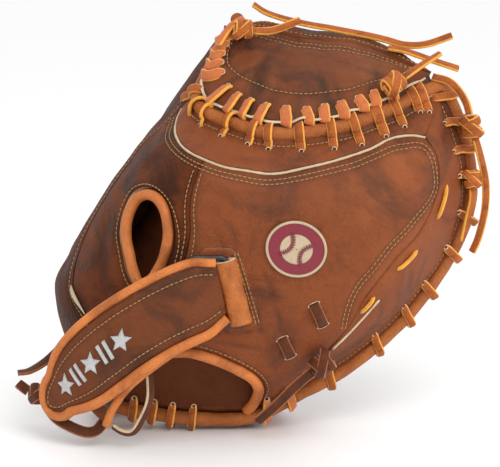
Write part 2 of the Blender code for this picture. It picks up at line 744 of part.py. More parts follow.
def build_back():
    """The back's panels, the two bands along the edge and the piping."""
    joint = (PIPING_RADIUS + GAP) / MITT_LENGTH
    piping = smooth_line(PIPING_LINE, 28)
    seam_edge = part_of_rim(len(RIM_PERIMETER) + 1, len(RIM_TABLE) - 0.5, 28)
    seam_edge = shift_line(seam_edge, -RIM_INSET)
    above = shift_line(piping, joint)
    t = np.linspace(0.0, 1.0, 4)[:, None, None]
    sheet_panel("web_side_band", (1 - t) * above[None] + t * seam_edge[None], "brown_leather")

    inner = smooth_line(BAND_LINE, 24)
    outer = shift_line(part_of_rim(0.5, 9, 24), -RIM_INSET)
    keep = shift_line(inner, GAP / MITT_LENGTH * 2)
    t = np.linspace(0.0, 1.0, 5)[:, None, None]
    sheet_panel("thumb_band", (1 - t) * keep[None] + t * outer[None], "brown_leather")

    below = shift_line(piping, -joint)
    clear = (BINDING_RADIUS + GAP) / MITT_LENGTH
    wrist = shift_line(smooth_line(WRIST_LINE, 18), clear)
    right_side = np.vstack([
        smooth_line(THUMB_HEEL_LINE, 8)[::-1],
        shift_line(smooth_line(BAND_LINE, 16), -GAP / MITT_LENGTH * 2)[::-1][1:],
    ])
    right_side = smooth_line(right_side, 18)
    left_side = shift_line(smooth_line(SEAM_LINE, 18), -GAP / MITT_LENGTH * 2)
    start = np.argmin(np.abs(below[:, 0] - left_side[-1, 0]))
    top = smooth_line(below[start:], 18)
    left_side[-1] = top[0]
    wrist[0] = left_side[0]
    right_side[-1] = top[-1]
    wrist[-1] = right_side[0]
    sheet_panel("thumb_panel", coons(left_side, right_side, wrist, top), "brown_leather")

    hole = smooth_line(HOLE_LINE, 36, closed=True)
    near = shift_line(hole, clear, closed=True)
    if np.ptp(near[:, 0]) < np.ptp(hole[:, 0]):
        near = shift_line(hole, -clear, closed=True)
    slit = GAP / MITT_LENGTH * 2
    seam = shift_line(smooth_line(SEAM_LINE, 14), slit)
    stop = np.argmin(np.abs(below[:, 0] - seam[-1, 0]))
    over = shift_line(below[:stop + 1], -slit)[::-1]
    over = smooth_line(over, 10)
    edge = shift_line(smooth_line(FINGER_EDGE_LINE, 12), -slit)[::-1]
    foot = smooth_line(FINGER_FOOT_LINE, 8)
    seam[-1] = over[0]
    edge[0] = over[-1]
    foot[0] = edge[-1]
    foot[-1] = seam[0]
    outline = np.vstack([seam, over[1:], edge[1:], foot[1:-1]])
    near = spread_round(near, outline, HOLE_CENTRE)
    t = np.array([0.0, 0.22, 0.48, 0.75, 1.0])[:, None, None]
    flat = (1 - t) * near[None] + t * outline[None]
    high = back_height(flat[..., 0], flat[..., 1])
    ring_solid(
        "finger_panel",
        on_sheet(flat[..., 0], flat[..., 1], high),
        on_sheet(flat[..., 0], flat[..., 1], high + WALL),
        "brown_leather",
    )
    edge_high = back_height(hole[:, 0], hole[:, 1]) + WALL / 2
    tube("finger_hole_binding", on_sheet(hole[:, 0], hole[:, 1], edge_high), BINDING_RADIUS,
         "orange_leather", 6, closed=True)

    line = smooth_line(WRIST_LINE, 18)[1:-1]
    high = back_height(line[:, 0], line[:, 1]) + WALL / 2
    tube("wrist_binding", on_sheet(line[:, 0], line[:, 1], high), BINDING_RADIUS, "orange_leather", 6)

    high = back_height(piping[:, 0], piping[:, 1]) + PIPING_RADIUS * 0.3
    tube("cream_piping", on_sheet(piping[:, 0], piping[:, 1], high), PIPING_RADIUS, "cream_piping", 4)

    left_edge = shift_line(smooth_line(FINGER_EDGE_LINE, 18), slit)
    far = shift_line(part_of_rim(15.2, 26, 18), -RIM_INSET)
    low = smooth_line(PINKY_WRIST_LINE, 12)
    high = shift_line(part_of_rim(26, 28, 12), -RIM_INSET - slit)[::-1]
    low[0] = left_edge[0]
    low[-1] = far[0]
    high[0] = left_edge[-1]
    high[-1] = far[-1]
    grid = coons(left_edge, far, low, high)
    sheet_panel("pinky_panel", grid, "brown_leather")


def build_rolls():
    """The leather rolls along the edge, with their lacing."""
    for name, first, last, pitch, color, count in (
        ("thumb_roll", 0, 9, LACE_PITCH, "orange_leather", 60),
        ("heel_roll", 9, 17, LACE_PITCH, "orange_leather", 50),
        ("pinky_roll", 17, 25, LACE_PITCH, "orange_leather", 50),
        ("web_roll", 26.1, 37.6, WEB_LACE_PITCH, "orange_leather", 80),
    ):
        line = part_of_rim(first, last, count)
        trim = 2 * GAP / MITT_LENGTH
        line[0] += (line[1] - line[0]) / np.linalg.norm(line[1] - line[0]) * trim
        line[-1] += (line[-2] - line[-1]) / np.linalg.norm(line[-2] - line[-1]) * trim
        laced_roll(name, line, roll_height(line[:, 0], line[:, 1]), pitch, color)


def web_grid(rows, cols, inset_top):
    """The web's middle surface, from the roll up to its top edge."""
    base = part_of_rim(26.1, 37.6, cols)
    clear = (ROLL_RADIUS + LACE_THICK + 2 * GAP) / MITT_LENGTH
    low_flat = shift_line(base, clear)
    low = on_sheet(low_flat[:, 0], low_flat[:, 1], roll_height(low_flat[:, 0], low_flat[:, 1]))
    high = stand(*np.moveaxis(smooth_line(WEB_TOP, cols), -1, 0))
    t = np.linspace(0.0, 1.0 - inset_top, rows)[:, None, None]
    grid = (1 - t) * low[None] + t * high[None]
    along = np.sin(math.pi * np.linspace(0.0, 1.0, cols))[None, :, None]
    push = WEB_BULGE * np.sin(math.pi * t) * along
    return grid + push * np.array((0.0, -0.75, 0.66))


def wall_normal(grid):
    du = np.gradient(grid, axis=0)
    dv = np.gradient(grid, axis=1)
    normal = np.cross(dv, du)
    normal /= np.linalg.norm(normal, axis=-1)[..., None]
    if normal[..., 1].mean() > 0:
        normal = -normal
    return normal


def build_web():
    """The closed web and the thick band along its top."""
    grid = web_grid(8, 24, 0.14)
    normal = wall_normal(grid)
    grid_solid("web_panel", grid + normal * WEB_WALL / 2, grid - normal * WEB_WALL / 2, "web_leather")

    grid = web_grid(50, 24, 0.0)
    normal = wall_normal(grid)
    lines = []
    for share in (0.868, 0.885, 0.93, 0.975, 1.0):
        lines.append(int(round(share * 49)))
    band = grid[lines]
    lift = normal[lines]
    swell = np.array([0.45, 0.85, 1.0, 0.85, 0.45])[:, None, None] * WEB_BAND_THICK / 2
    grid_solid("web_top_band", band + lift * swell, band - lift * swell, "web_leather")


def under_strap(line, top, bottom):
    """Places of a line under the strap's upper layer, each by its own spacing below that layer."""
    share = np.linspace(0.0, 1.0, 30)[None, :, None]
    upper = (top[:, None] * (1 - share) + bottom[:, None] * share).reshape(-1, 3)
    placed = []
    for side, along, spacing in line:
        near = np.argmin((upper[:, 0] - side) ** 2 + (upper[:, 1] - along) ** 2)
        placed.append((side, along, upper[near, 2] + spacing))
    placed = np.array(placed)
    placed[1:-1, 2] = (placed[:-2, 2] + placed[1:-1, 2] * 2 + placed[2:, 2]) / 4
    return placed


def build_strap():
    """The wrist strap: its two layers, bindings, closure, ring and keeper."""
    inset = STRAP_BINDING_RADIUS + GAP
    top = smooth_line(STRAP_TOP, 40)
    bottom = smooth_line(STRAP_BOTTOM, 40)
    middle = 0.5 * (top[-1] + bottom[-1])
    ahead = (top[-1] + bottom[-1] - top[-3] - bottom[-3]) / 4
    ahead = ahead / np.linalg.norm(ahead)
    tip = []
    for turn in np.linspace(0, math.pi, 9)[1:-1]:
        half = 0.5 * (top[-1] - bottom[-1])
        tip.append(middle + half * math.cos(turn) + ahead * 0.055 * math.sin(turn))
    loop = np.vstack([top, np.array(tip), bottom[::-1]])
    loop = smooth_line(loop, 52, closed=True)
    path = stand(*np.moveaxis(loop, -1, 0))
    tube("strap_binding", path, STRAP_BINDING_RADIUS, "orange_leather", 6, closed=True)

    share = inset / MITT_LENGTH
    width = np.linalg.norm(top - bottom, axis=1)[:, None]
    a = top + (bottom - top) * share * 1.15 / width
    b = bottom + (top - bottom) * share * 1.15 / width
    start = share * 1.6 / np.linalg.norm(a[1] - a[0])
    rows = []
    for k in np.linspace(start, 39, 16):
        i = min(int(k), 38)
        rows.append((a[i] + (a[i + 1] - a[i]) * (k - i), b[i] + (b[i + 1] - b[i]) * (k - i)))
    grid = []
    for p, q in rows:
        t = np.linspace(0.0, 1.0, 6)[:, None]
        grid.append((1 - t) * p + t * q)
    half = 0.5 * (a[-1] - b[-1])
    centre = 0.5 * (a[-1] + b[-1])
    for turn in (0.35, 0.7, 0.95):
        reach = (0.055 - share * 1.1) * math.sin(turn * math.pi / 2)
        size = math.cos(turn * math.pi / 2 * 0.96)
        t = np.linspace(1.0, -1.0, 6)[:, None]
        bow = np.sqrt(np.clip(1.0 - (t * size) ** 2, 0.0, 1.0))
        grid.append(centre + half * t * size + ahead * reach * np.ones_like(bow))
    middle = stand(*np.moveaxis(np.array(grid), -1, 0))
    normal = wall_normal(middle)
    grid_solid("strap_panel", middle + normal * STRAP_THICK / 2, middle - normal * STRAP_THICK / 2,
               "brown_leather")

    lower_top = under_strap(smooth_line(STRAP_LOWER_TOP, 20), top, bottom)
    lower_bottom = under_strap(smooth_line(STRAP_LOWER_BOTTOM, 20), top, bottom)
    ribbon("strap_lower", lower_top, lower_bottom, STRAP_THICK, "brown_leather", 14, 5)

    lift = (STRAP_THICK / 2 + CLOSURE_THICK / 2 + GAP) / MITT_LENGTH
    a = lower_top[8:18]
    b = lower_bottom[8:18]
    up = np.array([-0.15, 0.0, -1.0])
    up = up / np.linalg.norm(up) * lift
    ribbon("strap_closure", a * 0.88 + b * 0.12 + up, a * 0.12 + b * 0.88 + up, CLOSURE_THICK,
           "black_closure", 8, 3)

    start = np.array(RING_RIGHT[0])
    stop = np.array(RING_RIGHT[1])
    wide = np.array([RING_WIDTH[0], RING_WIDTH[1], 0.0])
    corner = 0.16
    loop = []
    for p, q in ((start, stop), (stop, stop + wide), (stop + wide, start + wide), (start + wide, start)):
        step = q - p
        cut = min(corner, 0.30 * np.linalg.norm(step) / 0.05) * 0.05 / np.linalg.norm(step)
        loop.append(p + step * cut)
        loop.append(p + step * 0.5)
        loop.append(q - step * cut)
    loop = smooth_line(loop, 28, closed=True)
    tube("strap_ring", stand(*np.moveaxis(loop, -1, 0)), RING_RADIUS, "black_plastic", 6, closed=True)

    a = stand(*(start + (stop - start) * 0.10))
    b = stand(*(start + (stop - start) * 0.90))
    axis = (b - a) / np.linalg.norm(b - a)
    side = np.cross(axis, (0.0, 1.0, 0.0))
    side /= np.linalg.norm(side)
    up = np.cross(axis, side)
    turn = np.arange(14) * 2 * math.pi / 14
    rings = []
    for spot, wide_r in (
        (a, KEEPER_RADIUS), (b, KEEPER_RADIUS),
        (b, KEEPER_RADIUS - KEEPER_WALL), (a, KEEPER_RADIUS - KEEPER_WALL),
    ):
        rings.append(spot + wide_r * (np.cos(turn)[:, None] * side + np.sin(turn)[:, None] * up))
    vertices = np.concatenate(rings)
    faces = []
    for r in range(4):
        for k in range(14):
            m = (k + 1) % 14
            n = (r + 1) % 4
            faces.append((r * 14 + k, r * 14 + m, n * 14 + m, n * 14 + k))
    add_object("strap_keeper", vertices, faces, "brown_leather")


def build_patch():
    """The round patch, lying on the thumb panel."""
    count = 24
    turn = np.arange(count) * 2 * math.pi / count
    share = PATCH_RADIUS / MITT_LENGTH
    outside, inside = [], []
    for part in (0.04, 0.92, 1.0):
        across = PATCH_PLACE[0] + share * part * np.cos(turn)
        along = PATCH_PLACE[1] + share * part * np.sin(turn)
        base = back_height(across, along) - 2 * GAP
        outside.append(on_sheet(across, along, base - PATCH_THICK * (0.6 if part == 1.0 else 1.0)))
        inside.append(on_sheet(across, along, base))
    rings = inside + outside[::-1]
    vertices = np.concatenate(rings)
    faces = []
    for r in range(len(rings) - 1):
        for c in range(count):
            n = (c + 1) % count
            faces.append((r * count + c, r * count + n, (r + 1) * count + n, (r + 1) * count + c))
    faces.append(tuple(range(count - 1, -1, -1)))
    faces.append(tuple((len(rings) - 1) * count + c for c in range(count)))
    add_object("round_patch", vertices, faces, "crimson_patch")


def build_knots():
    """The tied knots of the lacing."""
    for name, place, radius in KNOTS:
        mesh_maker = bmesh.new()
        bmesh.ops.create_icosphere(mesh_maker, subdivisions=2, radius=radius)
        centre = stand(*place)
        vertices = [np.array(v.co) + centre for v in mesh_maker.verts]
        faces = [[v.index for v in f.verts] for f in mesh_maker.faces]
        mesh_maker.free()
        color = "dark_lace_leather" if name.startswith(("heel", "pinky")) else "lace_leather"
        add_object(name, vertices, faces, color)


def cord_path(points):
    """A cord's centre line in metres, started clear of the knot that it leaves."""
    line = stand(*np.moveaxis(smooth_line(points, 900), -1, 0))
    for _, place, radius in KNOTS:
        centre = stand(*place)
        far = np.linalg.norm(line - centre, axis=1)
        line = line[far > radius * 0.985 + GAP]
    run = np.concatenate([[0.0], np.cumsum(np.linalg.norm(np.diff(line, axis=0), axis=1))])
    count = max(4, int(round(run[-1] / (CORD_RADIUS * 5))))
    at = np.linspace(0.0, run[-1], count)
    return np.stack([np.interp(at, run, line[:, k]) for k in range(3)], axis=-1)


def build_cords():
    """The free ends of the lacing, as plain round cords."""
    for name, points in CORDS:
        path = cord_path(points)
        curve = bpy.data.curves.new(name, "CURVE")
        curve.dimensions = "3D"
        curve.bevel_depth = CORD_RADIUS
        curve.bevel_resolution = 2
        curve.use_fill_caps = True
        spline = curve.splines.new("POLY")
        spline.points.add(len(path) - 1)
        for point, place in zip(spline.points, path):
            point.co = (*map(float, place), 1.0)
        obj = bpy.data.objects.new(name, curve)
        mitt.objects.link(obj)
        graph = bpy.context.evaluated_depsgraph_get()
        mesh = bpy.data.meshes.new_from_object(obj.evaluated_get(graph))
        bpy.data.objects.remove(obj, do_unlink=True)
        dark = name.startswith(("heel", "pinky", "wrist"))
        vertices = [tuple(v.co) for v in mesh.vertices]
        faces = [tuple(p.vertices) for p in mesh.polygons]
        add_object(name, vertices, faces, "dark_lace_leather" if dark else "lace_leather")


build_palm()
build_back()
build_rolls()
build_web()
build_strap()
build_patch()
build_knots()
build_cords()
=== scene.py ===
"""Looks of a softball catcher mitt that stands on its heel, seen from its back."""
import math

import bpy
import numpy as np
from bpy.props import FloatProperty, FloatVectorProperty, PointerProperty
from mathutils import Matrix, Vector


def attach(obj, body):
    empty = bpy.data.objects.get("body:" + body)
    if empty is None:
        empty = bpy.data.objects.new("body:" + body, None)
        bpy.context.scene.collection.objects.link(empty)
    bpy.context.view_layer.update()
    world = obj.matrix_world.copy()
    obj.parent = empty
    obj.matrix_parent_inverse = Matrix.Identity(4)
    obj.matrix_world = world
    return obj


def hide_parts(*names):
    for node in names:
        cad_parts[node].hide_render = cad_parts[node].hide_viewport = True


bl_info = {
    "name": "Softball catcher mitt",
    "version": (1, 0, 0),
    "blender": (4, 5, 0),
    "location": "View3D > Sidebar > Mitt",
    "description": "Builds the dressed leather, lacing and stitching of a catcher mitt",
    "category": "Object",
}

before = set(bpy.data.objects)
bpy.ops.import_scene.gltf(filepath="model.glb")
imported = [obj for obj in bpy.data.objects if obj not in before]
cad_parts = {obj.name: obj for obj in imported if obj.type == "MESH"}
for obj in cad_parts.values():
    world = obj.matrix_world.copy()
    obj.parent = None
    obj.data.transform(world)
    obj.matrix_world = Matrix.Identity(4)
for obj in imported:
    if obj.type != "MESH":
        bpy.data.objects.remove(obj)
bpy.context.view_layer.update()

MITT_LENGTH = 0.300
LEAN_DEG = 31.3
HEEL_X = -0.0702
HEEL_Y = -0.0358
HEEL_Z = 0.0243
THUMB_REACH = 0.433
FINGER_REACH = 0.250

WALL = 0.0030
GAP = 0.0004
HAND_SPACE = 0.0265
HAND_SPACE_RUN = 0.050
TIP_FILL = 0.012
PAD_POCKET = 0.009
PAD_RIM = 0.024
PAD_EDGE = 0.007
PAD_RIM_RUN = 0.034
PAD_SIDE = 0.0120
PAD_OVERHANG = 0.0015
HEEL_OVERHANG = 0.0045
HEEL_PAD = 0.026
HEEL_PAD_REACH = 0.0147
HEEL_PAD_SPREAD = 0.024
THUMB_PAD_SHARE = 0.78
FINGER_PAD_SHARE = 1.30
ROLL_RADIUS = 0.0040
LACE_THICK = 0.0016
LACE_PITCH = 0.0185
BINDING_RADIUS = 0.0036
WEB_WALL = 0.0030
WEB_BULGE = 0.010
WEB_BAND_THICK = 0.0075
PIPING_RADIUS = 0.0012
PATCH_RADIUS = 0.0187
STRAP_THICK = 0.0030
STRAP_BINDING_RADIUS = 0.0025
CLOSURE_THICK = 0.0012
RING_RADIUS = 0.0021
KEEPER_RADIUS = 0.0062
KEEPER_WALL = 0.0037

SECTION_COLUMNS = (
    "along", "hinge", "bend", "turn_deg", "thumb_curl", "finger_curl", "set_back"
)
SECTIONS = (
    (-0.200, -0.020, 0.070, 95.0, 0.040, 0.120, 0.060),
    (-0.080, -0.022, 0.082, 95.0, 0.042, 0.110, 0.045),
    (-0.010, -0.026, 0.136, 95.0, 0.044, 0.100, 0.034),
    (0.060, -0.034, 0.176, 95.0, 0.047, 0.088, 0.026),
    (0.140, -0.042, 0.176, 95.0, 0.054, 0.078, 0.014),
    (0.320, -0.050, 0.168, 96.0, 0.080, 0.050, 0.000),
    (0.450, -0.050, 0.162, 96.0, 0.095, 0.030, 0.000),
    (0.630, -0.055, 0.157, 96.0, 0.115, 0.020, 0.015),
    (0.850, -0.060, 0.166, 98.0, 0.110, 0.045, 0.100),
    (1.000, -0.060, 0.166, 98.0, 0.110, 0.060, 0.200),
)

# The roll's centre line all round the mitt: across, along.
RIM_PERIMETER = (
    (0.200, 0.918),
    (0.244, 0.898),
    (0.299, 0.853),
    (0.350, 0.802),
    (0.396, 0.728),
    (0.417, 0.639),
    (0.415, 0.520),
    (0.393, 0.404),
    (0.344, 0.274),
    (0.281, 0.170),
    (0.218, 0.069),
    (0.104, -0.003),
    (0.036, -0.034),
    (-0.040, -0.065),
    (-0.120, -0.085),
    (-0.200, -0.104),
    (-0.270, -0.092),
    (-0.330, -0.070),
    (-0.400, -0.034),
    (-0.458, 0.045),
    (-0.500, 0.150),
    (-0.530, 0.320),
    (-0.535, 0.500),
    (-0.510, 0.650),
    (-0.455, 0.760),
    (-0.395, 0.795),
)
RIM_WEB = (
    (-0.350, 0.760),
    (-0.318, 0.690),
    (-0.290, 0.632),
    (-0.240, 0.608),
    (-0.145, 0.630),
    (-0.099, 0.644),
    (-0.044, 0.675),
    (0.016, 0.719),
    (0.053, 0.750),
    (0.087, 0.788),
    (0.123, 0.829),
    (0.160, 0.880),
)

# The heel pad's middle, where the mitt's weight rests on the thumb side.
HEEL_PAD_PLACE = (0.250, 0.115)

# Lines on the back, across and along.
PIPING_LINE = (
    (-0.292, 0.575),
    (-0.262, 0.541),
    (-0.219, 0.525),
    (-0.182, 0.523),
    (-0.147, 0.531),
    (-0.113, 0.543),
    (-0.083, 0.561),
    (-0.035, 0.590),
    (0.011, 0.631),
    (0.061, 0.678),
    (0.109, 0.729),
    (0.141, 0.772),
    (0.175, 0.800),
    (0.200, 0.812),
)
BAND_LINE = (
    (0.207, 0.808),
    (0.238, 0.790),
    (0.262, 0.752),
    (0.272, 0.700),
    (0.272, 0.625),
    (0.260, 0.565),
    (0.252, 0.499),
    (0.250, 0.438),
    (0.256, 0.370),
    (0.258, 0.300),
)
THUMB_HEEL_LINE = (
    (0.253, 0.294),
    (0.254, 0.240),
    (0.255, 0.180),
    (0.231, 0.128),
    (0.203, 0.090),
)
SEAM_LINE = (
    (-0.036, 0.140),
    (-0.062, 0.230),
    (-0.084, 0.322),
    (-0.100, 0.385),
    (-0.122, 0.440),
    (-0.146, 0.526),
)
WRIST_LINE = (
    (-0.036, 0.128),
    (0.008, 0.157),
    (0.075, 0.173),
    (0.140, 0.173),
    (0.178, 0.154),
    (0.193, 0.124),
)
HOLE_LINE = (
    (-0.113, 0.250),
    (-0.114, 0.300),
    (-0.123, 0.345),
    (-0.136, 0.374),
    (-0.153, 0.396),
    (-0.172, 0.404),
    (-0.191, 0.396),
    (-0.204, 0.374),
    (-0.204, 0.345),
    (-0.197, 0.318),
    (-0.183, 0.292),
    (-0.163, 0.268),
    (-0.142, 0.242),
    (-0.123, 0.228),
)
HOLE_CENTRE = (-0.158, 0.325)
FINGER_FOOT_LINE = (
    (-0.158, 0.098),
    (-0.100, 0.106),
    (-0.040, 0.126),
)
FINGER_EDGE_LINE = (
    (-0.168, 0.094),
    (-0.228, 0.124),
    (-0.269, 0.214),
    (-0.282, 0.330),
    (-0.276, 0.445),
    (-0.300, 0.578),
)
PINKY_WRIST_LINE = (
    (-0.166, 0.090),
    (-0.150, 0.030),
    (-0.166, -0.030),
    (-0.206, -0.076),
)

# The web's top edge and what hangs free: across, along and away, not on the sheet.
WEB_TOP = (
    (-0.285, 0.770, 0.185),
    (-0.221, 0.818, 0.250),
    (-0.168, 0.836, 0.278),
    (-0.113, 0.852, 0.293),
    (-0.052, 0.880, 0.293),
    (0.003, 0.904, 0.280),
    (0.073, 0.920, 0.247),
    (0.127, 0.922, 0.213),
    (0.168, 0.922, 0.185),
)
STRAP_TOP = (
    (-0.068, 0.360, -0.1382),
    (-0.100, 0.341, -0.1442),
    (-0.143, 0.289, -0.154),
    (-0.184, 0.224, -0.158),
    (-0.217, 0.144, -0.147),
    (-0.237, 0.070, -0.118),
    (-0.241, 0.007, -0.090),
    (-0.227, -0.052, -0.070),
)
STRAP_BOTTOM = (
    (0.026, 0.262, -0.1382),
    (0.014, 0.228, -0.1478),
    (-0.010, 0.195, -0.160),
    (-0.043, 0.151, -0.168),
    (-0.066, 0.088, -0.165),
    (-0.088, 0.031, -0.153),
    (-0.113, -0.035, -0.130),
    (-0.147, -0.088, -0.100),
)
STRAP_LOWER_TOP = (
    (-0.074, 0.338, 0.0327),
    (-0.105, 0.270, 0.0425),
    (-0.130, 0.180, 0.0250),
    (-0.145, 0.090, 0.0225),
    (-0.150, 0.010, 0.0225),
    (-0.128, -0.060, 0.0225),
)
STRAP_LOWER_BOTTOM = (
    (0.012, 0.250, 0.0350),
    (-0.024, 0.160, 0.0425),
    (-0.060, 0.077, 0.0240),
    (-0.074, 0.020, 0.0225),
    (-0.074, -0.035, 0.0225),
    (-0.066, -0.074, 0.0225),
)
RING_RIGHT = ((-0.038, 0.386, -0.1232), (0.070, 0.279, -0.1232))
RING_WIDTH = (-0.062, -0.038)
PATCH_PLACE = (0.071, 0.477)

KNOTS = (
    ("web_knot_left", (-0.245, 0.795, 0.1757), 0.0075),
    ("web_knot_right", (0.098, 0.874, 0.0890), 0.0085),
    ("thumb_knot_upper", (0.303, 0.879, 0.1300), 0.0085),
    ("thumb_knot_lower", (0.366, 0.780, 0.1268), 0.0068),
    ("heel_knot", (0.272, 0.283, -0.0652), 0.0090),
    ("pinky_knot", (-0.218, -0.118, 0.000), 0.0085),
)
CORDS = (
    ("top_lace", (
        (-0.249, 0.847, 0.270), (-0.215, 0.846, 0.272), (-0.171, 0.856, 0.268),
        (-0.116, 0.874, 0.268), (-0.074, 0.8905, 0.270), (-0.032, 0.9062, 0.268),
        (0.009, 0.9222, 0.262), (0.050, 0.937, 0.248), (0.090, 0.950, 0.236),
        (0.130, 0.976, 0.234), (0.171, 1.023, 0.240))),
    ("top_lace_short", (
        (0.060, 0.9258, 0.218), (0.093, 0.940, 0.212), (0.157, 0.954, 0.212),
        (0.221, 0.968, 0.222))),
    ("web_knot_right_tail", (
        (0.098, 0.874, 0.0890), (0.126, 0.928, 0.118), (0.156, 0.982, 0.140))),
    ("web_knot_left_tail", (
        (-0.245, 0.795, 0.1757), (-0.189, 0.824, 0.192), (-0.144, 0.877, 0.208))),
    ("thumb_lace", (
        (0.173, 0.927, 0.165), (0.214, 0.938, 0.150), (0.262, 0.920, 0.132),
        (0.303, 0.879, 0.1300))),
    ("thumb_tail_upper", (
        (0.303, 0.879, 0.1300), (0.350, 0.838, 0.124), (0.398, 0.788, 0.128),
        (0.430, 0.735, 0.130), (0.452, 0.676, 0.136), (0.460, 0.637, 0.142))),
    ("thumb_tail_lower", (
        (0.366, 0.780, 0.1268), (0.390, 0.745, 0.122), (0.404, 0.700, 0.112),
        (0.420, 0.651, 0.108))),
    ("heel_tail", (
        (0.272, 0.283, -0.0652), (0.249, 0.215, -0.072), (0.234, 0.150, -0.070),
        (0.222, 0.092, -0.048))),
    ("pinky_tail", (
        (-0.218, -0.118, 0.000), (-0.240, -0.128, 0.004), (-0.272, -0.128, 0.014))),
    ("pinky_tail_upper", (
        (-0.222, -0.0142, 0.110), (-0.238, -0.060, 0.074), (-0.262, -0.094, 0.036),
        (-0.284, -0.112, 0.030))),
    ("pinky_lace", (
        (-0.218, -0.118, 0.000), (-0.170, -0.132, -0.050), (-0.132, -0.124, -0.086),
        (-0.096, -0.112, -0.104), (-0.078, -0.100, -0.094),
        (-0.073, -0.0755, -0.092))),
    ("wrist_loop", (
        (-0.0516, 0.0872, -0.1292), (-0.018, 0.034, -0.129), (-0.008, -0.020, -0.124),
        (-0.010, -0.055, -0.118), (-0.030, -0.068, -0.112), (-0.052, -0.070, -0.102))),
)


def smooth_step(x):
    t = np.clip(x, 0.0, 1.0)
    return t * t * (3.0 - 2.0 * t)


def section_column(along, name):
    """A column of SECTIONS at these places along the mitt, as one smooth curve."""
    xs = np.array([row[0] for row in SECTIONS])
    ys = np.array([row[SECTION_COLUMNS.index(name)] for row in SECTIONS])
    slope = np.gradient(ys, xs)
    x = np.clip(np.asarray(along, float), xs[0], xs[-1])
    i = np.clip(np.searchsorted(xs, x) - 1, 0, len(xs) - 2)
    w = xs[i + 1] - xs[i]
    t = (x - xs[i]) / w
    return ((2 * t**3 - 3 * t**2 + 1) * ys[i] + (t**3 - 2 * t**2 + t) * w * slope[i] + (3 * t**2 - 2 * t**3)
        * ys[i + 1] + (t**3 - t**2) * w * slope[i + 1])


def section_point(across, along):
    """The sheet's section: sideways and away, in shares."""
    hinge = section_column(along, "hinge")
    bend = section_column(along, "bend")
    turn = np.radians(section_column(along, "turn_deg"))
    right = np.clip(across - hinge, 0.0, None)
    left = np.clip(hinge - across, 0.0, None)
    arc = np.minimum(left, bend * turn)
    angle = arc / bend
    rest = left - arc
    side = hinge + right - bend * np.sin(angle) - rest * np.cos(angle)
    away = bend * (1.0 - np.cos(angle)) + rest * np.sin(angle)
    away = away + section_column(along, "thumb_curl") * (right / THUMB_REACH) ** 2
    cup = section_column(along, "finger_curl") * (rest / FINGER_REACH) ** 2
    side = side + cup * np.sin(angle)
    away = away + cup * np.cos(angle) + section_column(along, "set_back")
    return side, away


def stand(side, along, away):
    """Shares across, along and away, as metres where the mitt stands."""
    lean = math.radians(LEAN_DEG)
    side = np.asarray(side, float) * MITT_LENGTH
    along = np.asarray(along, float) * MITT_LENGTH
    away = np.asarray(away, float) * MITT_LENGTH
    x = HEEL_X + side * math.cos(lean) + along * math.sin(lean)
    z = HEEL_Z + along * math.cos(lean) - side * math.sin(lean)
    return np.stack([x, HEEL_Y + away, z], axis=-1)


def on_sheet(across, along, height=0.0):
    """Metres of a place on the sheet, raised towards the pocket by height metres."""
    across, along, height = np.broadcast_arrays(
        np.asarray(across, float), np.asarray(along, float), np.asarray(height, float)
    )
    step = 0.002
    side_a, away_a = section_point(across - step, along)
    side_b, away_b = section_point(across + step, along)
    run = np.hypot(side_b - side_a, away_b - away_a)
    side, away = section_point(across, along)
    lift = height / MITT_LENGTH
    side = side - lift * (away_b - away_a) / run
    away = away + lift * (side_b - side_a) / run
    return stand(side, along, away)


def unit(directions):
    """The same directions, each of length one."""
    directions = np.asarray(directions, float)
    return directions / np.linalg.norm(directions, axis=-1, keepdims=True)


def run_of(line):
    """How far along a line each of its points is."""
    return np.concatenate([[0.0], np.cumsum(np.linalg.norm(np.diff(line, axis=0), axis=1))])


def read_at(line, run, at):
    """A line's places at these distances along it."""
    return np.stack([np.interp(at, run, line[:, k]) for k in range(line.shape[1])], axis=-1)


def stand_line(line):
    """Places given across, along and away, in metres where the mitt stands."""
    return stand(*np.moveaxis(line, -1, 0))


def smooth_line(points, count, closed=False):
    """Evenly spaced points on a smooth curve through these."""
    base = np.asarray(points, float)
    if closed:
        ring = np.vstack([base[-1], base, base[0], base[1]])
    else:
        ring = np.vstack([2 * base[0] - base[1], base, 2 * base[-1] - base[-2]])
    fine = []
    for i in range(1, len(ring) - 2):
        a, b, c, d = ring[i - 1], ring[i], ring[i + 1], ring[i + 2]
        t = np.linspace(0.0, 1.0, 16, endpoint=False)[:, None]
        fine.append(0.5 * (2 * b + (c - a) * t + (2 * a - 5 * b + 4 * c - d) * t**2 + (3 * b - a - 3 * c + d) * t**3))
    fine.append(ring[-2][None])
    fine = np.vstack(fine)
    run = run_of(fine)
    at = np.linspace(0.0, run[-1], count + 1)[:-1] if closed else np.linspace(0.0, run[-1], count)
    return read_at(fine, run, at)


def paired_line(points, per_span, closed=False):
    """A smooth curve sampled the same number of times in every span, so that two lines keep step."""
    base = np.asarray(points, float)
    if closed:
        ring = np.vstack([base[-1], base, base[0], base[1]])
    else:
        ring = np.vstack([2 * base[0] - base[1], base, 2 * base[-1] - base[-2]])
    out = []
    for i in range(1, len(ring) - 2):
        a, b, c, d = ring[i - 1], ring[i], ring[i + 1], ring[i + 2]
        t = np.linspace(0.0, 1.0, per_span, endpoint=False)[:, None]
        out.append(0.5 * (2 * b + (c - a) * t + (2 * a - 5 * b + 4 * c - d) * t**2 + (3 * b - a - 3 * c + d) * t**3))
    if not closed:
        out.append(base[-1][None])
    return np.vstack(out)


def shift_line(line, distance, closed=False):
    """A flat line moved to its left by distance, both in shares."""
    line = np.asarray(line, float)
    if closed:
        tangent = np.roll(line, -1, axis=0) - np.roll(line, 1, axis=0)
    else:
        tangent = np.gradient(line, axis=0)
    tangent = unit(tangent)
    return line + distance * np.stack([-tangent[:, 1], tangent[:, 0]], axis=-1)


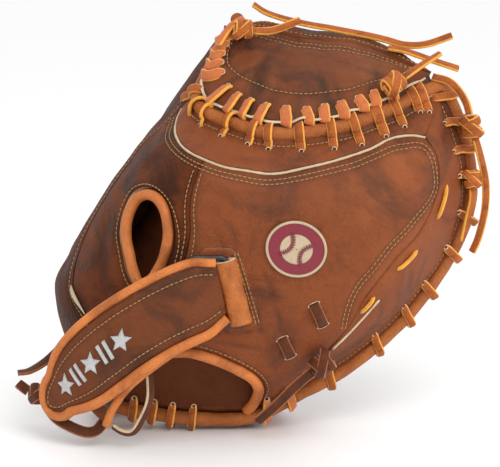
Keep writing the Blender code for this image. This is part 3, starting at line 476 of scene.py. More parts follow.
def spread_round(loop, target, centre):
    """Points of a closed loop that face each point of a target loop from the centre."""
    arm = loop - np.asarray(centre)
    angle = np.arctan2(arm[:, 1], arm[:, 0])
    order = np.argsort(angle)
    angle = angle[order]
    radius = np.linalg.norm(arm, axis=1)[order]
    aim = target - np.asarray(centre)
    want = np.arctan2(aim[:, 1], aim[:, 0])
    reach = np.interp(want, angle, radius, period=2 * math.pi)
    return np.asarray(centre) + reach[:, None] * np.stack([np.cos(want), np.sin(want)], axis=-1)


RIM_TABLE = RIM_PERIMETER + RIM_WEB
RIM = smooth_line(RIM_TABLE, 144, closed=True)
RIM_INSET = (ROLL_RADIUS + LACE_THICK + 2 * GAP) / MITT_LENGTH


def from_rim(across, along):
    """Metres from the rim's inner line."""
    flat = np.stack(np.broadcast_arrays(across, along), axis=-1)
    far = np.linalg.norm(flat[..., None, :] - RIM, axis=-1).min(axis=-1)
    return np.clip((far - RIM_INSET) * MITT_LENGTH, 0.0, None)


def back_height(across, along):
    """Height of the back panels' outside."""
    x = np.clip(from_rim(across, along) / HAND_SPACE_RUN, 0.0, 1.0)
    room = HAND_SPACE * (1.0 - (1.0 - x) ** 2)
    tip = TIP_FILL * smooth_step((-0.16 - np.asarray(across)) / 0.12)
    tip = tip * smooth_step((np.asarray(along) - 0.50) / 0.10) * (1.0 - x) ** 2
    return -(WALL + 2 * GAP + room + tip)


def heel_swell(across, along):
    """How far the heel pad is swollen, from 0 away from it to 1 at its middle."""
    far = np.hypot(np.asarray(across) - HEEL_PAD_PLACE[0], np.asarray(along) - HEEL_PAD_PLACE[1])
    return np.exp(-((far * MITT_LENGTH / HEEL_PAD_SPREAD) ** 2))


def pad_depth(across, along):
    """Thickness of the palm's padding."""
    x = from_rim(across, along) / PAD_RIM_RUN
    bulge = (x * np.exp(1.0 - x)) ** 1.5
    base = PAD_EDGE + (PAD_POCKET - PAD_EDGE) * smooth_step(x / 3.0)
    side = 1.0 + (THUMB_PAD_SHARE - 1.0) * smooth_step(np.asarray(across) / 0.20)
    side = side + (FINGER_PAD_SHARE - 1.0) * smooth_step((-0.06 - np.asarray(across)) / 0.16)
    depth = side * (base + (PAD_RIM - base) * np.clip(bulge, 0.0, 1.0))
    return depth + HEEL_PAD * heel_swell(across, along)


def coons(left, right, bottom, top):
    """A grid of rows from bottom to top between four flat lines."""
    rows, cols = len(left), len(bottom)
    u = np.linspace(0.0, 1.0, cols)[None, :, None]
    v = np.linspace(0.0, 1.0, rows)[:, None, None]
    ruled = (1 - u) * left[:, None] + u * right[:, None] + (1 - v) * bottom[None] + v * top[None]
    corner = ((1 - u) * (1 - v) * bottom[0] + u * (1 - v) * bottom[-1] + (1 - u) * v * top[0] + u * v * top[-1])
    return ruled - corner


def frames(path, closed=False):
    """Two sideways directions along a path, carried without twist."""
    if closed:
        tangent = np.roll(path, -1, axis=0) - np.roll(path, 1, axis=0)
    else:
        tangent = np.gradient(path, axis=0)
    tangent = unit(tangent)
    first = unit(np.cross(tangent[0], (0.31, 0.22, 0.93)))
    sides = [first]
    for t in tangent[1:]:
        s = sides[-1] - t * np.dot(sides[-1], t)
        sides.append(unit(s))
    sides = np.array(sides)
    return sides, np.cross(tangent, sides)

# Places on the rim from one row of RIM_TABLE to the next.
RIM_STEPS = 12


def part_of_rim(first, last, count):
    """The rim's centre line between two places of RIM_TABLE, in order."""
    fine = paired_line(RIM_TABLE, RIM_STEPS, closed=True)
    start, stop = int(first * 12), int(last * 12)
    keep = fine[np.arange(start, stop + 1) % len(fine)]
    run = run_of(keep)
    at = np.linspace(0.0, run[-1], count)
    return read_at(keep, run, at)


def roll_height(across, along):
    """The roll sits level with the back panels' edge."""
    tip = TIP_FILL * smooth_step((-0.16 - np.asarray(across)) / 0.12)
    tip = tip * smooth_step((np.asarray(along) - 0.50) / 0.10)
    return -0.0020 - tip


def under_strap(line, top, bottom):
    """Places of a line under the strap's upper layer, each by its own spacing below that layer."""
    share = np.linspace(0.0, 1.0, 30)[None, :, None]
    upper = (top[:, None] * (1 - share) + bottom[:, None] * share).reshape(-1, 3)
    placed = []
    for side, along, spacing in line:
        near = np.argmin((upper[:, 0] - side) ** 2 + (upper[:, 1] - along) ** 2)
        placed.append((side, along, upper[near, 2] + spacing))
    placed = np.array(placed)
    placed[1:-1, 2] = (placed[:-2, 2] + placed[1:-1, 2] * 2 + placed[2:, 2]) / 4
    return placed



RIM_RUN = run_of(RIM) * MITT_LENGTH


# Lines sewn on the back: name, and which way they lie from the line they follow (metres).
PIPING_STITCHES = (0.0034, 0.0059)
SEAM_STITCHES = (0.0020, -0.0022)

# Creases on the back: across, along places; depth and width in millimetres.
CREASES = (
    (((0.034, 0.404), (0.070, 0.375), (0.094, 0.354)), 0.50, 2.2),
    (((0.090, 0.350), (0.125, 0.318), (0.163, 0.275)), 0.55, 2.4),
    (((0.060, 0.345), (0.085, 0.300), (0.120, 0.262)), 0.45, 2.0),
    (((0.020, 0.230), (0.075, 0.262), (0.132, 0.300)), 0.35, 2.2),
    (((0.030, 0.205), (0.085, 0.228), (0.145, 0.252)), 0.40, 2.0),
    (((-0.075, 0.455), (-0.050, 0.438), (-0.030, 0.410)), 0.32, 1.4),
    (((-0.082, 0.430), (-0.055, 0.405), (-0.042, 0.378)), 0.30, 1.3),
    (((-0.020, 0.470), (-0.005, 0.430), (-0.002, 0.395)), 0.35, 1.5),
    (((0.005, 0.545), (0.012, 0.505), (0.008, 0.462)), 0.30, 1.2),
    (((0.085, 0.585), (0.092, 0.548), (0.085, 0.510)), 0.28, 1.0),
    (((-0.237, 0.338), (-0.215, 0.250), (-0.159, 0.164)), 0.75, 4.2),
    (((-0.225, 0.430), (-0.240, 0.380), (-0.238, 0.330)), 0.45, 3.0),
    (((-0.205, 0.500), (-0.215, 0.460), (-0.222, 0.415)), 0.35, 2.4),
    (((0.205, 0.640), (0.228, 0.610), (0.262, 0.600)), 0.30, 1.6),
    (((0.150, 0.700), (0.180, 0.672), (0.215, 0.655)), 0.30, 2.0),
    (((0.300, 0.560), (0.330, 0.520), (0.352, 0.470)), 0.50, 2.6),
    (((0.290, 0.700), (0.325, 0.680), (0.372, 0.690)), 0.40, 2.4),
    (((0.285, 0.470), (0.315, 0.420), (0.322, 0.370)), 0.45, 2.4),
    (((-0.120, 0.565), (-0.085, 0.585), (-0.050, 0.610)), 0.30, 2.0),
    (((0.015, 0.655), (0.040, 0.690), (0.048, 0.712)), 0.28, 1.6),
    (((-0.320, 0.420), (-0.350, 0.330), (-0.350, 0.230)), 0.80, 4.5),
    (((-0.370, 0.560), (-0.400, 0.460), (-0.405, 0.350)), 0.70, 4.0),
    (((-0.300, 0.180), (-0.330, 0.110), (-0.330, 0.040)), 0.65, 3.6),
    (((-0.430, 0.620), (-0.445, 0.520), (-0.440, 0.420)), 0.60, 3.4),
)

# Creases on the pocket's face, the same way.
POCKET_CREASES = (
    (((-0.060, 0.020), (-0.040, 0.110), (0.000, 0.200), (0.020, 0.290)), 1.5, 4.5),
    (((-0.110, 0.010), (-0.120, 0.100), (-0.140, 0.190), (-0.150, 0.270)), 1.3, 4.5),
    (((0.060, 0.120), (0.110, 0.200), (0.190, 0.250), (0.270, 0.260)), 0.9, 3.6),
    (((-0.200, 0.120), (-0.270, 0.180), (-0.350, 0.210), (-0.430, 0.200)), 0.9, 3.6),
    (((0.020, 0.520), (0.080, 0.480), (0.160, 0.470), (0.240, 0.490)), 0.6, 3.0),
    (((-0.160, 0.520), (-0.230, 0.490), (-0.310, 0.490), (-0.390, 0.520)), 0.6, 3.0),
    (((-0.040, 0.560), (-0.045, 0.500), (-0.060, 0.430)), 0.5, 2.6),
    (((0.150, 0.620), (0.190, 0.580), (0.250, 0.560)), 0.5, 2.4),
    (((-0.250, 0.340), (-0.310, 0.350), (-0.380, 0.340)), 0.5, 2.6),
    (((0.110, 0.350), (0.170, 0.360), (0.230, 0.350)), 0.5, 2.6),
)


# How many waves are laid over one another for an uneven colour or height.
WAVES = 9


def waves(x, y, length, seed):
    """A gentle unevenness from -1 to 1 with about this wavelength, the same every run."""
    dice = np.random.default_rng(seed)
    total = np.zeros(np.broadcast(x, y).shape)
    for _ in range(WAVES):
        angle = dice.uniform(0.0, 2 * math.pi)
        size = 2 * math.pi / (length * dice.uniform(0.65, 1.6))
        total = total + np.sin((x * math.cos(angle) + y * math.sin(angle)) * size + dice.uniform(0, 6.3))
    return total / math.sqrt(WAVES) / 1.5


def waves_on(path, length, seed):
    """Waves read along a path that stands in the scene."""
    return waves(path[:, 0], path[:, 2], length, seed)


def distance_to(flat, line):
    """Distance of flat places from a line, and the share of the line there, in the places' units."""
    line = np.asarray(line, float)
    start, step = line[:-1], np.diff(line, axis=0)
    size = (step**2).sum(axis=1)
    points = flat.reshape(-1, 2)
    best = np.full(len(points), 1e9)
    share = np.zeros(len(points))
    for k in range(len(step)):
        t = np.clip(((points - start[k]) @ step[k]) / size[k], 0.0, 1.0)
        far = np.linalg.norm(points - start[k] - t[:, None] * step[k], axis=1)
        near = far < best
        best[near] = far[near]
        share[near] = (k + t[near]) / len(step)
    return best.reshape(flat.shape[:-1]), share.reshape(flat.shape[:-1])


def crease_depth(flat, creases):
    """How deep the creases are at these places, in metres, with their soft ridges below zero."""
    total = np.zeros(flat.shape[:-1])
    for points, deep, wide in creases:
        far, share = distance_to(flat, smooth_line(points, 14))
        far = far * MITT_LENGTH * 1000.0 / wide
        fade = np.sin(math.pi * np.clip(share, 0.02, 0.98)) ** 0.7
        total = total + deep * 0.001 * fade * (np.exp(-far**2) - 0.45 * np.exp(-((far - 1.9) ** 2)))
    return total


# The outer row of the border's stitches, where it bends round the panel's top corner.
BORDER_BEND = (
    (0.054, 0.656), (0.090, 0.690), (0.118, 0.724), (0.146, 0.760), (0.172, 0.782),
    (0.192, 0.796), (0.210, 0.798), (0.230, 0.786), (0.250, 0.762), (0.264, 0.734),
    (0.264, 0.706), (0.254, 0.666), (0.246, 0.624), (0.236, 0.576), (0.232, 0.522),
    (0.226, 0.480), (0.228, 0.440), (0.238, 0.404), (0.254, 0.368),
)


def sewn_lines():
    """The lines of stitches on the back, each as a line of flat places."""
    piping = smooth_line(PIPING_LINE, 60)
    start = shift_line(piping, -PIPING_STITCHES[0] / MITT_LENGTH)
    start = start[(start[:, 0] < BORDER_BEND[0][0] - 0.02) & (np.arange(len(start)) > 1)]
    border = smooth_line(np.vstack([start[::5], BORDER_BEND]), 180)
    lines = {
        "border_0": border,
        "border_1": shift_line(border, -(PIPING_STITCHES[1] - PIPING_STITCHES[0]) / MITT_LENGTH),
    }
    for k, offset in enumerate(SEAM_STITCHES):
        lines["seam_%d" % k] = shift_line(smooth_line(SEAM_LINE, 40), offset / MITT_LENGTH)[:-2]
    rim = part_of_rim(len(RIM_PERIMETER) + 1.2, len(RIM_TABLE) - 0.9, 90)
    lines["web_side"] = shift_line(rim, -RIM_INSET - 0.0016 / MITT_LENGTH)
    rim = part_of_rim(0.8, 8.9, 90)
    lines["thumb_side"] = shift_line(rim, -RIM_INSET - 0.0018 / MITT_LENGTH)
    hole = smooth_line(HOLE_LINE, 80, closed=True)
    out = (BINDING_RADIUS + 0.0022) / MITT_LENGTH
    ring = shift_line(hole, out, closed=True)
    if np.ptp(ring[:, 0]) < np.ptp(hole[:, 0]):
        ring = shift_line(hole, -out, closed=True)
    lines["hole_ring"] = ring
    wrist = shift_line(smooth_line(WRIST_LINE, 50), (BINDING_RADIUS + 0.0026) / MITT_LENGTH)
    lines["wrist_edge"] = wrist
    lines["finger_edge"] = shift_line(smooth_line(FINGER_EDGE_LINE, 50), 0.0034 / MITT_LENGTH)
    rim = part_of_rim(15.6, 25.6, 120)
    lines["pinky_side"] = shift_line(rim, -RIM_INSET - 0.0018 / MITT_LENGTH)
    return lines


SEWN = sewn_lines()


def relief(across, along):
    """How far the back's leather stands out from the plain panel with its creases, and its darkening, which is painted
    shade in the creases, along the stitch grooves and next to the roll.
    """
    across, along = np.broadcast_arrays(np.asarray(across, float), np.asarray(along, float))
    flat = np.stack([across, along], axis=-1)
    rise = 0.00045 * waves(across, along, 0.17, 3) + 0.00022 * waves(across, along, 0.07, 8)
    deep = crease_depth(flat, CREASES)
    rise = rise - deep
    # Painted shade in the creases.
    shade_and_wear = np.clip(deep / 0.0006, 0.0, 1.0)
    for line in SEWN.values():
        far, _ = distance_to(flat, line[:: max(1, len(line) // 40)])
        far = far * MITT_LENGTH
        dip = np.exp(-((far / 0.0011) ** 2))
        rise = rise - 0.00032 * dip + 0.00030 * np.exp(-(((far - 0.0042) / 0.0026) ** 2))
        # Painted shade along the stitch grooves.
        shade_and_wear = np.maximum(shade_and_wear, 0.75 * np.exp(-((far / 0.0016) ** 2)))
    gap = np.linalg.norm(flat[..., None, :] - RIM, axis=-1)
    near = gap.argmin(axis=-1)
    far = gap.min(axis=-1) * MITT_LENGTH
    run = RIM_RUN[near]
    rise = rise + 0.00032 * np.cos(2 * math.pi * run / LACE_PITCH) * np.exp(-(((far - 0.011) / 0.006) ** 2))
    # Painted shade on the strip next to the rolled edge.
    edge = np.clip(1.0 - (far - RIM_INSET * MITT_LENGTH) / 0.006, 0.0, 1.0)
    shade_and_wear = np.maximum(shade_and_wear, 0.55 * edge)
    return rise, shade_and_wear


def back_place(across, along, lift=0.0):
    """Metres of a place on the dressed back, lifted off it by this much."""
    rise, _ = relief(across, along)
    return on_sheet(across, along, back_height(across, along) - rise - lift)


def back_normal(across, along):
    """The way out of the back at a place."""
    out = on_sheet(across, along, -0.001) - on_sheet(across, along, 0.0)
    return unit(out)


def make_mesh(name, vertices, faces, materials, slots=None, marks=None):
    """A smooth-shaded object, with a material for each face and a darkening value for each point: painted shade in
    creases, grooves and edges, and wear elsewhere.
    """
    mesh = bpy.data.meshes.new(name)
    places = np.array(vertices, float).reshape(-1, 3)
    places[:, 2] = np.maximum(places[:, 2], 0.0002)
    mesh.from_pydata(places.tolist(), [], [list(map(int, f)) for f in faces])
    obj = bpy.data.objects.new(name, mesh)
    bpy.context.scene.collection.objects.link(obj)
    for material in materials:
        mesh.materials.append(material)
    mesh.polygons.foreach_set("use_smooth", [True] * len(mesh.polygons))
    if slots is not None:
        mesh.polygons.foreach_set("material_index", np.asarray(slots, dtype=np.int32))
    layer = mesh.attributes.new("shade_and_wear", "FLOAT", "POINT")
    values = np.zeros(len(mesh.vertices)) if marks is None else np.asarray(marks, float).ravel()
    layer.data.foreach_set("value", values.astype(np.float32))
    mesh.update()
    mesh.validate()
    return obj


def settle(obj, slot, *nodes):
    """The piece rides on the mitt and stands for these solids, which are hidden; the slot is not used."""
    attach(obj, "root")
    if nodes:
        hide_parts(*nodes)
    return obj


def grid_faces(rows, cols, start=0, flip=False, wrap=False):
    """Four-sided faces of a grid of points."""
    r = np.arange(rows - 1)[:, None]
    c = np.arange(cols if wrap else cols - 1)[None, :]
    n = (c + 1) % cols
    a, b = r * cols + c, r * cols + n
    d, e = (r + 1) * cols + n, (r + 1) * cols + c
    quads = np.stack([a, b, d, e], axis=-1).reshape(-1, 4) + start
    return quads[:, ::-1] if flip else quads


def wall_mesh(name, outside, inside, materials, marks=None, wrap=False):
    """A closed leather wall between two grids: face, cut edge and flesh side as materials 0, 1, 2."""
    rows, cols = outside.shape[:2]
    half = rows * cols
    vertices = np.concatenate([outside.reshape(-1, 3), inside.reshape(-1, 3)])
    faces = [grid_faces(rows, cols, wrap=wrap), grid_faces(rows, cols, half, True, wrap)]
    slots = [np.zeros(len(faces[0])), np.full(len(faces[1]), 2)]
    if wrap:
        for r, flip in ((0, True), (rows - 1, False)):
            c = np.arange(cols)
            n = (c + 1) % cols
            quad = np.stack([r * cols + c, r * cols + n, half + r * cols + n, half + r * cols + c], axis=-1)
            faces.append(quad if flip is False else quad[:, ::-1])
            slots.append(np.ones(cols))
    else:
        edge = list(range(cols)) + [r * cols + cols - 1 for r in range(1, rows)]
        edge += [(rows - 1) * cols + c for c in range(cols - 2, -1, -1)]
        edge += [r * cols for r in range(rows - 2, 0, -1)]
        a = np.array(edge)
        b = np.roll(a, -1)
        faces.append(np.stack([b, a, half + a, half + b], axis=-1))
        slots.append(np.ones(len(a)))
    faces = np.concatenate(faces)
    both = np.zeros(len(vertices))
    if marks is not None:
        both[:half] = marks.ravel()
        both[half:] = 0.4
    obj = make_mesh(name, vertices, faces, materials, np.concatenate(slots), both)
    face_out(obj)
    return obj


def face_out(obj):
    """Turns a closed mesh's faces outwards if they all look in."""
    mesh = obj.data
    mesh.calc_loop_triangles()
    co = np.array([v.co for v in mesh.vertices], float)
    tri = np.array([t.vertices for t in mesh.loop_triangles])
    a, b, c = co[tri[:, 0]], co[tri[:, 1]], co[tri[:, 2]]
    if np.einsum("ij,ij->i", a, np.cross(b, c)).sum() < 0:
        mesh.flip_normals()


# How far a leather's border is rounded over, as a share of its wall.
EDGE_ROUND = 0.34


def rounded(outside, inside, wrap=False):
    """Rounds the outside grid's border over, as a leather edge is."""
    out = outside.copy()
    rows, cols = out.shape[:2]
    r = np.minimum(np.arange(rows), np.arange(rows)[::-1])[:, None]
    c = np.minimum(np.arange(cols), np.arange(cols)[::-1])[None, :] + (99 if wrap else 0)
    ring = np.minimum(r, c)
    share = np.where(ring == 0, EDGE_ROUND, np.where(ring == 1, EDGE_ROUND * 0.22, 0.0))[..., None]
    return out * (1 - share) + inside * share


def tube_mesh(name, path, radii, materials, sides=12, closed=False, marks=None, squash=1.0):
    """A round bar along a path."""
    side, up = frames(path, closed)
    radii = np.broadcast_to(np.asarray(radii, float), (len(path),))
    turn = np.arange(sides) * 2 * math.pi / sides
    ring = path[:, None] + radii[:, None, None] * (np.cos(turn)[None, :, None] * side[:, None] + squash
        * np.sin(turn)[None, :, None] * up[:, None])
    count = len(path)
    faces = list(grid_faces(count, sides, wrap=True))
    if closed:
        c = np.arange(sides)
        n = (c + 1) % sides
        last = (count - 1) * sides
        shift = int(np.argmin(np.linalg.norm(ring[0] - ring[-1][0], axis=1)))
        order = (c + shift) % sides
        following = (n + shift) % sides
        faces += list(np.stack([last + c, last + n, following, order], axis=-1))
    else:
        faces.append(tuple(range(sides - 1, -1, -1)))
        faces.append(tuple((count - 1) * sides + k for k in range(sides)))
    points = None if marks is None else np.repeat(marks, sides)
    obj = make_mesh(name, ring.reshape(-1, 3), faces, materials, None, points)
    face_out(obj)
    return obj


class Ribbons:
    """Gathers flat leather straps into one mesh: face, cut edge and flesh side as materials 0, 1, 2."""

    def __init__(self):
        self.vertices, self.faces, self.slots, self.marks = [], [], [], []
        self.count = 0

    def add(self, path, normals, width, thick, bow=0.0, taper=0.0, marks=None):
        path = np.asarray(path, float)
        tangent = unit(np.gradient(path, axis=0))
        normals = np.asarray(normals, float)
        side = unit(np.cross(tangent, normals))
        up = np.cross(side, tangent)
        w, t = width / 2, thick / 2
        c = min(0.00065, t * 0.6)
        shape = np.array([(-w, -t + c), (-w, t - c), (-w + c, t), (-w * 0.45, t + bow), (w * 0.45, t + bow),
            (w - c, t), (w, t - c), (w, -t + c), (w - c, -t), (-w + c, -t)])
        kinds = (1, 1, 0, 0, 0, 1, 1, 1, 2, 1)
        sizes = np.ones(len(path))
        if taper:
            ends = np.minimum(np.arange(len(path)), np.arange(len(path))[::-1])
            sizes = 1.0 - taper * np.exp(-ends / 1.5)
        ring = path[:, None] + shape[None, :, :1] * side[:, None] * sizes[:, None, None]
        ring = ring + shape[None, :, 1:] * up[:, None]
        n = len(shape)
        start = self.count
        self.vertices.append(ring.reshape(-1, 3))
        quads = grid_faces(len(path), n, start, wrap=True)
        self.faces += quads.tolist()
        self.slots += list(np.tile(kinds, len(path) - 1))
        self.faces.append(list(range(start + n - 1, start - 1, -1)))
        self.faces.append(list(range(start + (len(path) - 1) * n, start + len(path) * n)))
        self.slots += [1, 1]
        self.marks.append(np.repeat(np.zeros(len(path)) if marks is None else marks, n))
        self.count += len(path) * n

    def build(self, name, materials):
        obj = make_mesh(name, np.concatenate(self.vertices), self.faces, materials, self.slots,
            np.concatenate(self.marks))
        face_out(obj)
        return obj


# How far thread and hole rims stand off the leather.
SEWN_LIFT = 0.0001


class Stitches:
    """Gathers sewing thread into one mesh, each stitch a short bar that dips in at both ends."""

    def __init__(self, radius=None):
        self.radius = radius or sizes().thread_radius
        self.vertices, self.faces = [], []
        self.count = 0

    def add(self, start, stop, normal, arch=0.0003):
        share = np.array([0.0, 0.16, 0.5, 0.84, 1.0])
        lift = np.array([-1.6, 0.35, 1.0, 0.35, -1.6]) * arch
        size = np.array([0.7, 1.0, 1.12, 1.0, 0.7]) * self.radius
        axis = unit(stop - start)
        side = unit(np.cross(axis, normal))
        path = start + share[:, None] * (stop - start) + lift[:, None] * normal
        turn = np.arange(6) * math.pi / 3
        ring = path[:, None] + size[:, None, None] * (np.cos(turn)[None, :, None] * side + 0.8 * np.sin(turn)[None, :,
            None] * normal)
        self.vertices.append(ring.reshape(-1, 3))
        self.faces += grid_faces(5, 6, self.count, wrap=True).tolist()
        self.faces.append([self.count + k for k in range(5, -1, -1)])
        self.faces.append([self.count + 24 + k for k in range(6)])
        self.count += 30

    def along(self, line, normals):
        """A row of stitches on a line of points in metres."""
        pitch, length = sizes().stitch_pitch, sizes().stitch_length
        run = run_of(line)
        count = max(1, int(run[-1] / pitch))
        step = run[-1] / count

        def at(values, place):
            return np.array([np.interp(place, run, values[:, k]) for k in range(3)])

        for k in range(count):
            a, b = k * step, k * step + length * step / pitch
            normal = at(normals, (a + b) / 2)
            self.add(at(line, a), at(line, b), unit(normal))

    def build(self, name, material):
        obj = make_mesh(name, np.concatenate(self.vertices), self.faces, [material])
        face_out(obj)
        return obj


def srgb(red, green, blue):
    """A colour read from 0 to 255, as the linear numbers that shaders take."""
    out = []
    for value in (red, green, blue):
        v = value / 255.0
        out.append(v / 12.92 if v <= 0.04045 else ((v + 0.055) / 1.055) ** 2.4)
    return tuple(out)


def feed(tree, value, socket):
    """A socket takes a plain number, a plain colour or another node's result."""
    if isinstance(value, (int, float)):
        socket.default_value = value
    elif isinstance(value, tuple):
        socket.default_value = (*value, 1.0)
    else:
        tree.links.new(value, socket)


def dial(tree, node, **values):
    """Sets a node's sockets by their labels, with _ for a space, and returns the node."""
    for label, value in values.items():
        feed(tree, value, node.inputs[label.replace("_", " ")])
    return node


def new_group(name, inputs, outputs):
    """An empty node group with its sockets and the object's own coordinates; a tuple is a colour."""
    group = bpy.data.node_groups.new(name, "ShaderNodeTree")
    for label, value in inputs.items():
        color = isinstance(value, tuple)
        kind = "NodeSocketColor" if color else "NodeSocketFloat"
        socket = group.interface.new_socket(name=label, in_out="INPUT", socket_type=kind)
        socket.default_value = (*value, 1.0) if color else value
    for label in outputs:
        kind = "NodeSocketColor" if label == "Color" else "NodeSocketFloat"
        group.interface.new_socket(name=label, in_out="OUTPUT", socket_type=kind)
    enter, leave = group.nodes.new("NodeGroupInput").outputs, group.nodes.new("NodeGroupOutput").inputs
    return group, enter, leave, group.nodes.new("ShaderNodeTexCoord").outputs["Object"]


def math_node(tree, kind, *values, clamp=False):
    node = tree.nodes.new("ShaderNodeMath")
    node.operation = kind
    node.use_clamp = clamp
    for value, socket in zip(values, node.inputs):
        feed(tree, value, socket)
    return node.outputs[0]


def times(tree, *values, clamp=False):
    return math_node(tree, "MULTIPLY", *values, clamp=clamp)


def plus(tree, *values, clamp=False):
    return math_node(tree, "ADD", *values, clamp=clamp)


def mix_node(tree, factor, first, second):
    node = tree.nodes.new("ShaderNodeMix")
    node.data_type = "RGBA"
    for k, value in ((0, factor), (6, first), (7, second)):
        feed(tree, value, node.inputs[k])
    return node.outputs[2]


def noise_node(tree, vector, scale, detail, rough, warp=0.0):
    node = tree.nodes.new("ShaderNodeTexNoise")
    dial(tree, node, Vector=vector, Scale=scale, Detail=detail, Roughness=rough, Distortion=warp)
    return node.outputs["Fac"]


def range_node(tree, value, low, high, to_low=0.0, to_high=1.0):
    node = tree.nodes.new("ShaderNodeMapRange")
    node.interpolation_type = "SMOOTHSTEP"
    dial(tree, node, Value=value, From_Min=low, From_Max=high, To_Min=to_low, To_Max=to_high)
    return node.outputs["Result"]


def build_tone_group():
    """Hand-rubbed leather colour: cloudy dark smudges, lighter pulled areas, fine specks, and the Mark input's
    darkening, which is painted shade in creases, grooves and edges and wear elsewhere.
    """
    group, enter, leave, place = new_group(
        "Leather tone", {"Base": (0.3, 0.1, 0.04), "Dark": (0.1, 0.03, 0.01), "Light": (0.5, 0.2, 0.08),
                         "Cloud Scale": 14.0, "Cloud": 0.7, "Pull": 0.5, "Mark": 0.0}, ("Color", "Burnish"))
    scale, dark = enter["Cloud Scale"], enter["Dark"]
    cloud = range_node(group, noise_node(group, place, scale, 5.0, 0.62, 0.9), 0.46, 0.66)
    cloud = times(group, cloud, enter["Cloud"])
    pull = range_node(group, noise_node(group, place, times(group, scale, 0.55), 4.0, 0.55, 0.4), 0.50, 0.68)
    streak = range_node(group, noise_node(group, place, times(group, scale, 5.5), 6.0, 0.7, 1.4), 0.52, 0.70)
    color = mix_node(group, times(group, pull, enter["Pull"]), enter["Base"], enter["Light"])
    color = mix_node(group, cloud, color, dark)
    color = mix_node(group, times(group, streak, 0.22), color, dark)
    speck = range_node(group, noise_node(group, place, 900.0, 2.0, 0.6), 0.30, 0.70, 0.90, 1.08)
    bright = dial(group, group.nodes.new("ShaderNodeHueSaturation"), Color=color, Value=speck)
    # The Mark input mixes in the dark colour: painted shade in creases, grooves and edges, wear elsewhere.
    shade_and_wear = times(group, enter["Mark"], 0.62, clamp=True)
    feed(group, mix_node(group, shade_and_wear, bright.outputs["Color"], dark), leave["Color"])
    feed(group, plus(group, cloud, shade_and_wear, clamp=True), leave["Burnish"])


def build_grain_group():
    """Fine pebbled grain with hair pores and soft wrinkles, as a height."""
    group, enter, leave, place = new_group(
        "Leather grain", {"Pebble Scale": 900.0, "Pebble": 0.5, "Wrinkle Scale": 90.0, "Wrinkle": 0.5}, ("Height",))
    cell = group.nodes.new("ShaderNodeTexVoronoi")
    cell.feature = "SMOOTH_F1"
    dial(group, cell, Vector=place, Scale=enter["Pebble Scale"], Smoothness=0.6)
    pebble = times(group, cell.outputs["Distance"], enter["Pebble"])
    pore = noise_node(group, place, times(group, enter["Pebble Scale"], 2.2), 3.0, 0.6)
    fold = noise_node(group, place, enter["Wrinkle Scale"], 5.0, 0.62, 1.6)
    fold = times(group, math_node(group, "ABSOLUTE", math_node(group, "SUBTRACT", fold, 0.5)), enter["Wrinkle"])
    total = plus(group, times(group, times(group, pore, enter["Pebble"]), 0.5), times(group, pebble, -0.6))
    feed(group, plus(group, total, times(group, fold, 4.0)), leave["Height"])


def build_nap_group():
    """The short nap of a cut or split leather: a speckled value and a fuzzy height."""
    group, enter, leave, place = new_group("Leather nap", {"Scale": 1500.0, "Streak": 0.5}, ("Value", "Height"))
    fuzz = noise_node(group, place, enter["Scale"], 4.0, 0.75, 0.3)
    broad = noise_node(group, place, times(group, enter["Scale"], 0.12), 4.0, 0.6, 0.8)
    value = plus(group, times(group, fuzz, 0.5), times(group, broad, enter["Streak"]))
    feed(group, range_node(group, value, 0.30, 0.75), leave["Value"])
    feed(group, fuzz, leave["Height"])


def build_twist_group():
    """The lay of a twisted or satin thread: fine slanted ridges as a height and a value."""
    group, enter, leave, place = new_group("Thread twist", {"Scale": 2600.0}, ("Value", "Height"))
    wave = group.nodes.new("ShaderNodeTexWave")
    wave.wave_type, wave.bands_direction = "BANDS", "DIAGONAL"
    dial(group, wave, Vector=place, Scale=enter["Scale"], Distortion=2.0, Detail=2.0)
    for label in ("Height", "Value"):
        feed(group, wave.outputs["Fac"], leave[label])


def place_group(tree, name, **values):
    """A shared node group in a material; its outputs."""
    node = tree.nodes.new("ShaderNodeGroup")
    node.node_tree = bpy.data.node_groups[name]
    return dial(tree, node, **values).outputs


def start_material(name):
    material = bpy.data.materials.new(name)
    material.use_nodes = True
    return material, material.node_tree, material.node_tree.nodes["Principled BSDF"]


def bumped(tree, height, distance):
    return dial(tree, tree.nodes.new("ShaderNodeBump"), Height=height, Distance=distance).outputs["Normal"]


# Each point's darkening value: painted shade in creases, grooves and edges, and wear elsewhere.
def shade_and_wear_value(tree):
    node = tree.nodes.new("ShaderNodeAttribute")
    node.attribute_name = "shade_and_wear"
    return node.outputs["Fac"]


def dimmed(color, share):
    return tuple(min(1.0, v * share) for v in color)


def smooth_leather(name, base, dark, light, cloud, pull, cloud_scale=14.0, rough=(0.36, 0.56), pebble=0.7,
                   wrinkle=0.9, wrinkle_scale=90.0, coat=0.05, shine=0.34):
    """Oiled, hand-rubbed leather with a pebbled grain and a low, warm shine."""
    material, tree, shader = start_material(name)
    tone = place_group(tree, "Leather tone", Base=base, Dark=dark, Light=light, Cloud_Scale=cloud_scale,
                       Cloud=cloud, Pull=pull, Mark=shade_and_wear_value(tree))
    grain = place_group(tree, "Leather grain", Pebble_Scale=1000.0, Pebble=pebble, Wrinkle_Scale=wrinkle_scale,
                        Wrinkle=wrinkle)
    dial(tree, shader, Base_Color=tone["Color"], Normal=bumped(tree, grain["Height"], 0.00060),
         Roughness=range_node(tree, tone["Burnish"], 0.0, 1.0, rough[1], rough[0]), Coat_Weight=coat,
         Coat_Roughness=0.34, Specular_IOR_Level=shine, Specular_Tint=(1.0, 0.74, 0.55))
    return material


